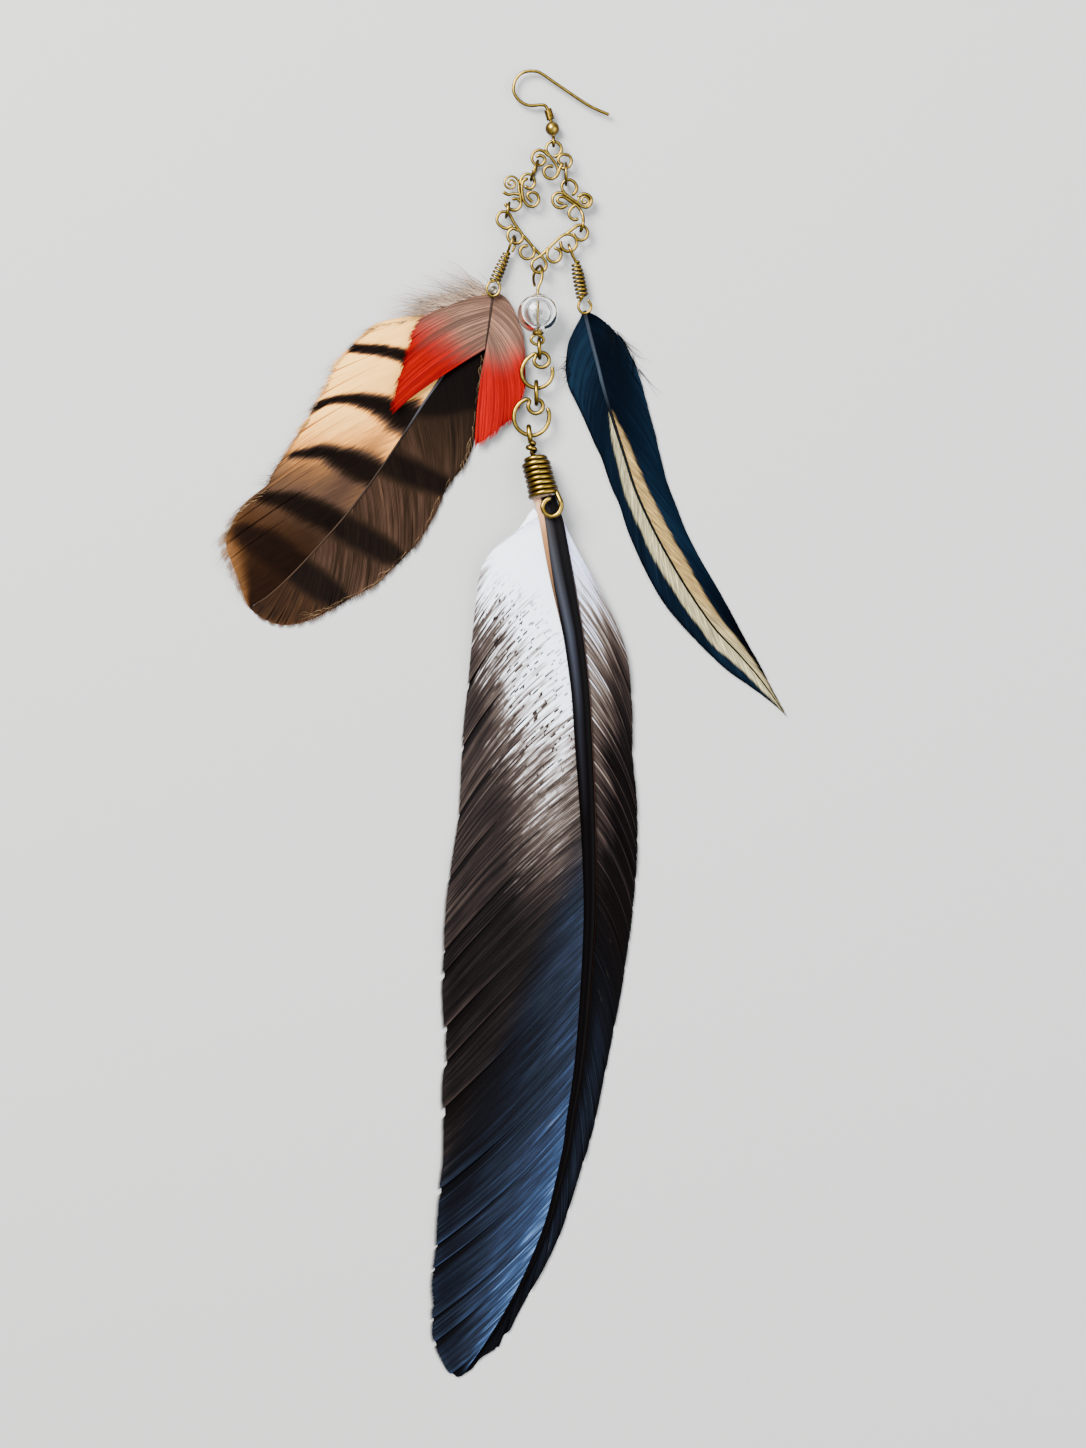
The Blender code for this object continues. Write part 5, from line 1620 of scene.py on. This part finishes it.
# %% [markdown]
# ## The blue feather
#
# Narrow and curved, deep blue, with a pale stripe on either side of its dark shaft. Its
# quill sits in the right tie. Bending a straight feather would narrow the inside of
# the curve, so both margins were read off the photograph here too.

# %% Lines of the blue feather
blue_shaft = shaft_line([
    (15.99, 82.48, 0.40, 0.42, 0.55), (16.37, 81.22, 0.38, 0.40, 0.25),
    (17.39, 77.13, 0.37, 0.39, 0.02), (18.60, 72.45, 0.36, 0.38, 0.02),
    (19.84, 67.36, 0.35, 0.36, 0.02), (21.46, 61.85, 0.33, 0.35, 0.02),
    (23.92, 54.12, 0.31, 0.33, 0.02), (26.31, 46.73, 0.29, 0.31, 0.02),
    (29.53, 39.60, 0.27, 0.29, 0.02), (32.74, 33.55, 0.25, 0.28, 0.02),
    (37.02, 26.40, 0.23, 0.26, 0.02), (42.01, 19.27, 0.20, 0.23, 0.02),
    (47.00, 13.92, 0.17, 0.20, 0.02), (51.28, 8.93, 0.14, 0.17, 0.02),
    (55.91, 2.52, 0.08, 0.10, 0.02),
])
blue_left = outline([
    (15.99, 82.08), (15.35, 80.40), (14.13, 78.56), (12.91, 76.33), (12.49, 74.09),
    (12.29, 71.64), (12.39, 69.18), (12.91, 66.94), (13.93, 64.90), (15.15, 62.47),
    (16.17, 60.23), (17.39, 57.38), (18.40, 55.12), (19.54, 52.80), (21.32, 47.45),
    (23.10, 43.54), (24.54, 38.88), (26.31, 34.61), (28.45, 29.98), (31.67, 24.26),
    (34.52, 20.69), (37.74, 17.13), (41.29, 13.58), (44.87, 10.38), (49.50, 7.15),
    (53.41, 4.29), (56.63, 1.44),
])
blue_right = outline([
    (16.59, 82.08), (17.59, 82.02), (19.42, 81.00), (21.46, 79.16), (23.50, 76.93),
    (25.13, 74.29), (26.55, 70.82), (27.57, 67.96), (28.59, 64.31), (29.21, 61.65),
    (30.23, 58.17), (30.59, 56.72), (31.67, 52.08), (32.92, 47.45), (34.88, 42.46),
    (37.02, 37.11), (39.87, 31.75), (42.73, 27.12), (45.56, 22.13), (48.42, 16.78),
    (51.28, 11.78), (53.77, 6.79), (55.91, 2.88), (56.63, 1.44),
])
blue_left_meet = [
    (0.0, 0.02, 0.0, 0.6), (0.01, 0.09, 0.05, 0.5), (0.03, 0.151, 0.08, 0.5),
    (0.07, 0.20, 0.08, 0.45), (0.133, 0.262, 0.07, 0.4), (0.212, 0.352, 0.05, 0.4),
    (0.302, 0.445, 0.04, 0.4), (0.424, 0.57, 0.03, 0.4), (0.545, 0.69, 0.03, 0.4),
    (0.676, 0.80, 0.02, 0.35), (0.80, 0.89, 0.01, 0.3), (0.9, 0.95, 0.0, 0.3),
    (1.0, 1.0, 0.0, 0.2),
]
blue_right_meet = [
    (0.0, 0.02, 0.0, 0.6), (0.012, 0.12, 0.08, 0.5), (0.03, 0.206, 0.08, 0.5),
    (0.07, 0.29, 0.07, 0.45), (0.133, 0.40, 0.06, 0.4), (0.212, 0.50, 0.05, 0.4),
    (0.302, 0.60, 0.04, 0.4), (0.424, 0.69, 0.04, 0.4), (0.545, 0.775, 0.03, 0.4),
    (0.676, 0.845, 0.02, 0.35), (0.80, 0.905, 0.01, 0.3), (0.9, 0.95, 0.0, 0.3),
    (1.0, 1.0, 0.0, 0.2),
]
print("shaft", round(run_of(blue_shaft[:, :2])[-1], 1), "mm long")

# %% [markdown]
# The stripes run beside the shaft and change width down its length, so they are
# measured as millimetres from the shaft line, not as shares of a barb. The left one is
# cream and the right one tan. Left and right follow one formula with other numbers.

# %% Blue feather


def blue_marks(side):
    """Blue ground; a stripe beside the shaft whose width is a table of its length.

    stripe is an ease of width less distance, jittered barb by barb.
    """

    def marks(f, where):
        """The fields of this side: tone, stripe, and how tan the stripe is."""
        u, t = f["along"], f["down"]
        own, group, _ = centred(f)
        gaps = np.hypot(where[..., :1] - blue_shaft[:, 0], where[..., 1:] - blue_shaft[:, 1])
        near = gaps.argmin(-1) / (len(blue_shaft) - 1)
        shift = 0.25 * own + 0.25 * group
        places = (0.19, 0.22, 0.3, 0.42, 0.6, 0.8, 0.93, 0.99)
        wide = np.interp(near, places, (-0.6, 0.2, 1.5, 2.2, 2.6, 2.5, 1.5, 0.4))
        part = (1.0, 0.9, 0.7, 0.4) if side > 0 else (1.05, 0.8, 0.5, 0.2)
        wide = wide * np.interp(near, (0.6, 0.8, 0.93, 1), part)
        stripe = ease(-0.28, 0.28, wide - gaps.min(-1) + shift)
        if side > 0:
            tone = 0.55 + 0.2 * ease(0.15, 0.05, t) - 0.4 * ease(0.8, 1.0, u)
            tan = 0.1 * ease(0.5, 0.7, t)
        else:
            tone = 0.3 + 0.35 * ease(0.25, 0.8, u + 2.2 * (t - 0.1))
            tone = tone - 0.65 * ease(0.35, 0.65, t) * ease(0.3, 0.9, u)
            tan = 0.9 - 0.6 * ease(0.62, 0.8, t)
        tone = tone * (1 + 0.4 * own + 0.3 * group)
        return {"tone": np.clip(tone, 0, 1), "stripe": stripe, "tan": tan}

    return marks


blue_vane, shader = new_material("blue_vane", 0.4, Specular_IOR_Level=0.02)
streaks = noise(blue_vane, (0.2, 0.8, 1), 4, on_barbs=True)
# Painted highlight along each barb's ridge, darker towards its edges.
lines = plus(streaks, times(field(blue_vane, "crest"), 0.4))
tone = times(field(blue_vane, "tone"), plus(lines, 0.25))
deep = ramp(tone, [(0.0, 1, 3, 7), (0.35, 2, 18, 32), (0.6, 5, 32, 52), (0.9, 24, 60, 86)])
cream = ramp(streaks, [(0.3, 164, 156, 138), (0.5, 200, 194, 176), (0.7, 226, 222, 208)])
tan = ramp(streaks, [(0.3, 158, 130, 92), (0.5, 196, 172, 130), (0.7, 222, 204, 168)])
cream = blend(field(blue_vane, "tan"), cream, tan)
paint(shader, blend(field(blue_vane, "stripe"), deep, cream))
blue_horn, shader = new_material("blue_shaft", 0.28, Specular_IOR_Level=0.05)
paint(shader, ramp(field(blue_horn, "down"), [
    (0.0, 74, 84, 96), (0.15, 84, 100, 116), (0.22, 20, 26, 34), (1.0, 12, 12, 14),
]))
BLUE = "blue_feather", "blue_feather"
barbs = vane(blue_shaft, blue_left, blue_left_meet, 1, 260, 26, (8, 30), (0.1, 0.1, 0.1),
             blue_marks(1), 41, ragged=0.006, ridge=0.05, roll=0.08)
plume("blue_left_vane", barbs, blue_vane, *BLUE)
barbs = vane(blue_shaft, blue_right, blue_right_meet, -1, 260, 26, (8, 30), (0.1, 0.1, 0.1),
             blue_marks(-1), 42, ragged=0.006, ridge=0.05, roll=0.08)
plume("blue_right_vane", barbs, blue_vane, *BLUE)
plume("blue_shaft", [rachis(blue_shaft, sides=12)], blue_horn, *BLUE)

# %% [markdown]
# ## Down and loose hairs
#
# Where a feather meets its ring, the barbs have no hooks and stay loose, as down.
# Blender's hair would draw them well, but a piece has to be a mesh to be exported. So
# each hair is a bent three-sided needle that ends in a point, far too thin for its
# three sides to show.

# %% Down at the ring


def hairs(roots, tips, sag, diameter, random, steps=12):
    """Loose barbs: root + s chord + (4 s (1 - s) sag + a small wave) outwards.

    The radius falls evenly from root to tip.
    """
    count = len(roots)
    s = np.linspace(0, 1, steps)[None, :, None]
    chord = tips - roots
    out = np.column_stack([chord[:, 1], -chord[:, 0], np.zeros(count)])
    bend = np.asarray(sag)[:, None, None] * 4 * s * (1 - s)
    deep = random.normal(0, 0.03, (count, 1, 1))
    wave = deep * np.sin(9 * s + random.uniform(0, 6, (count, 1, 1)))
    line = roots[:, None] + chord[:, None] * s + out[:, None] * (bend + wave)
    a = 2 * np.pi * np.arange(3) / 3
    side = out / np.maximum(np.linalg.norm(out, axis=1), 1e-9)[:, None]
    ring = np.cos(a)[:, None] * side[:, None] + np.sin(a)[:, None] * np.array([0, 0, 1.0])
    points = line[:, :, None] + ring[:, None] * (diameter / 2 * (1.05 - s))[..., None]
    shape = (count, steps, 3)
    i = np.arange(count * steps * 3).reshape(shape)
    j = np.roll(i, -1, axis=2)
    quads = np.stack([i[:, :-1], j[:, :-1], j[:, 1:], i[:, 1:]], axis=-1).reshape(-1, 4)
    fields = {"along": s, "own": random.uniform(0, 1, count)[:, None, None]}
    fields = {k: np.broadcast_to(v, shape).ravel() for k, v in fields.items()}
    return points.reshape(-1, 3), quads, fields


def hair_look(name, roughness, gloss, darkest, lightest):
    """A material whose colour differs from hair to hair between two limits."""
    made, shader = new_material(name, roughness, Specular_IOR_Level=gloss)
    paint(shader, ramp(field(made, "own"), [(0.0, *darkest), (1.0, *lightest)]))
    return made


down_look = hair_look("brown_down", 0.6, 0.05, (122, 106, 96), (222, 211, 202))
count = 320
share = rng.uniform(0, 1, count)
roots = np.column_stack([
    np.interp(share, (0, 1), (-2.8, -15.5)), np.interp(share, (0, 1), (86.3, 82.4)),
    np.full(count, 1.0),
])
roots[:, :2] += rng.normal(0, 0.35, (count, 2))
angle = np.interp(share, (0, 0.4, 1), (148, 168, 186))
angle = np.radians(angle + rng.normal(0, 9, count))
long = 3.0 + 9.0 * rng.uniform(0, 1, count) ** 1.5
rise = rng.uniform(0.0, 0.8, count)
tips = roots + np.column_stack([long * np.cos(angle), long * np.sin(angle), rise])
down_hairs = hairs(roots, tips, rng.normal(0.04, 0.05, count), 0.15, rng)
plume("down_at_the_ring", [down_hairs], down_look, "barred_feather")

# %% [markdown]
# A few barbs of the barred feather have come unhooked at the margin and stand out
# beyond it. They start just inside the outline, so that they seem to grow from it.

# %% Loose ends


def fringe(edge, side, count, random):
    """Loose barb ends along a vane's outline.

    Each starts 0.9 mm inside the outline and runs on towards the feather's tip, turned
    a little outwards.
    """
    spot = random.uniform(0.12, 0.97, count)
    way = at_shares(np.gradient(edge, axis=0), spot)
    way /= np.linalg.norm(way, axis=1)[:, None]
    out = np.column_stack([way[:, 1], -way[:, 0]]) * side
    long = random.uniform(1.8, 5.0, (count, 1))
    turn = np.radians(random.uniform(10, 42, (count, 1)))
    start = at_shares(edge, spot) - 0.9 * out
    end = start + long * (np.cos(turn) * way + np.sin(turn) * out)
    low, high = np.full(count, 0.66), random.uniform(0.5, 0.85, count)
    lines = np.column_stack([start, low]), np.column_stack([end, high])
    return hairs(*lines, random.normal(0.03, 0.03, count), 0.09, random)


ends_look = hair_look("barb_ends", 0.6, 0.02, (104, 84, 68), (198, 176, 150))
ends = [fringe(bar_left, 1, 170, rng), fringe(bar_right, -1, 60, rng)]
plume("barred_loose_ends", ends, ends_look, "barred_feather")

# %% [markdown]
# The blue feather has a few long dark hairs near its ring, more of them on the right.
# Drawing each by hand would take longer than it shows, so they are placed at random
# within a strip on either side.

# %% Dark hairs


def scattered(count, *limits):
    """Rows of random numbers, with one column for each pair of limits."""
    return np.column_stack([rng.uniform(low, high, count) for low, high in limits])


dark_look = hair_look("dark_hairs", 0.5, 0.02, (6, 8, 12), (16, 26, 36))
count = 26
share = rng.uniform(0, 1, count)
roots = np.column_stack([
    np.interp(share, (0, 0.5, 1), (19.5, 23.2, 27.0)),
    np.interp(share, (0, 0.5, 1), (81.0, 77.6, 71.0)), np.full(count, 0.5),
])
tips = roots + scattered(count, (1.5, 7.0), (-9.5, -3.5), (0.1, 0.8))
right_hairs = hairs(roots, tips, rng.uniform(0.04, 0.10, count), 0.22, rng)
count = 14
roots = scattered(count, (12.4, 13.4), (69.0, 74.0))
roots = np.column_stack([roots, np.full(count, 0.5)])
tips = roots + scattered(count, (-4.0, -1.0), (-4.5, 0.5), (0.1, 0.6))
left_hairs = hairs(roots, tips, rng.uniform(-0.1, 0.0, count), 0.20, rng)
plume("dark_hairs", [right_hairs, left_hairs], dark_look, "blue_feather")

# %% [markdown]
# ## Bead, cap and stud
#
# The bead is clear glass with a bore for its pin. A solid ball of glass material would
# do from afar, but the bore's own wall is what bends the light inside the real one, so
# the profile runs over the skin and back through the bore. Below it sits a brass
# cap, a shallow cup with a hole. The stud in the left ring is grey pewter, turned
# like a tiny button.

# %% Small turned parts
BEAD_RADIUS, BEAD_BORE, BEAD_HEIGHT = 4.05, 0.46, 4.1
DOWNWARDS = (0.0, -1.0, 0.0)
glass, shader = new_material("clear_glass", 0.0, IOR=1.5, Transmission_Weight=1.0)
shader.inputs["Base Color"].default_value = plain(1.0, 1.0, 1.0)
bore = [(d, BEAD_BORE) for d in np.linspace(4.02, -4.02, 16)[1:-1]]
bead = skin(BEAD_RADIUS, BEAD_BORE, 56) + bore
bead = turned(bead, (6.81, 81.71, BEAD_HEIGHT), DOWNWARDS, 72)
metal("glass_bead", [bead], look=glass)
cap = [
    (0.0, 1.20), (0.1, 1.16), (0.28, 1.02), (0.42, 0.8), (0.5, 0.66), (0.5, 0.47), (0.22, 0.47),
    (0.14, 0.9),
]
metal("bead_cap", [turned(cap, (6.81, 77.73, BEAD_HEIGHT), DOWNWARDS)])
# As with the brass, the ramp runs from painted shade under the stud to a painted highlight on its
# top.
pewter = metal_look("pewter", [
    (0.3, 0.03, 0.024, 0.018), (0.45, 0.10, 0.085, 0.065), (0.6, 0.20, 0.17, 0.13),
    (1.0, 0.42, 0.37, 0.30),
])
stud = [
    (0.0, 0.05), (0.0, 0.86), (0.3, 0.86), (0.42, 0.8), (0.45, 0.7), (0.42, 0.58), (0.3, 0.48),
    (0.28, 0.25), (0.42, 0.16), (0.45, 0.05),
]
stud = turned(stud, (-2.11, 86.53, 2.15), (0.0, 0.02, 1.0))
metal("left_eyelet", [stud], look=pewter)

# %% [markdown]
# ## Table, light and camera
#
# The ornament lies on a plain pale table. One broad soft light stands at the upper
# left, as a window would, a weaker cool one at the right, and even light all round
# fills the shadows. A single small lamp would make the barbs sparkle like wire. The
# camera looks straight down from where the photograph was taken.

# %% Stage
TABLE_HALF, TABLE_DROP = 3, 0.00002
CAMERA_PLACE = (0.0078, 0.0, 0.6838)
table_look, shader = new_material("pale_table", 0.9)
shader.inputs["Base Color"].default_value = plain(0.40, 0.395, 0.38)
mesh = bpy.data.meshes.new("table")
corners = [(-1, -1), (1, -1), (1, 1), (-1, 1)]
corners = [(x * TABLE_HALF, y * TABLE_HALF, -TABLE_DROP) for x, y in corners]
mesh.from_pydata(corners, [], [(0, 1, 2, 3)])
mesh.materials.append(table_look)
table_top = bpy.data.objects.new("table", mesh)
bpy.context.scene.collection.objects.link(table_top)


def soft_light(name, place, size, watts, colour=(1.0, 1.0, 1.0)):
    """A square lamp that faces the middle of the ornament."""
    lamp = bpy.data.lights.new(name, "AREA")
    lamp.size = size
    lamp.energy = watts
    lamp.color = colour
    thing = bpy.data.objects.new(name, lamp)
    thing.location = place
    toward = Vector((0.0, 0.0, 0.0)) - thing.location
    thing.rotation_euler = toward.to_track_quat("-Z", "Y").to_euler()
    bpy.context.scene.collection.objects.link(thing)


soft_light("window", (-0.45, 0.55, 0.75), 0.55, 46.0)
soft_light("fill", (0.65, -0.15, 0.6), 0.8, 12.0, (0.92, 0.96, 1.0))
world = bpy.data.worlds.new("room")
world.use_nodes = True
room = world.node_tree.nodes["Background"]
room.inputs["Color"].default_value = plain(0.9, 0.93, 1.0)
room.inputs["Strength"].default_value = 0.8
bpy.context.scene.world = world

camera = bpy.data.objects.new("camera", bpy.data.cameras.new("camera"))
camera.data.lens = 85.0
camera.data.sensor_width = 36.0
camera.location = CAMERA_PLACE
bpy.context.scene.collection.objects.link(camera)
bpy.context.scene.camera = camera
print("stage set")
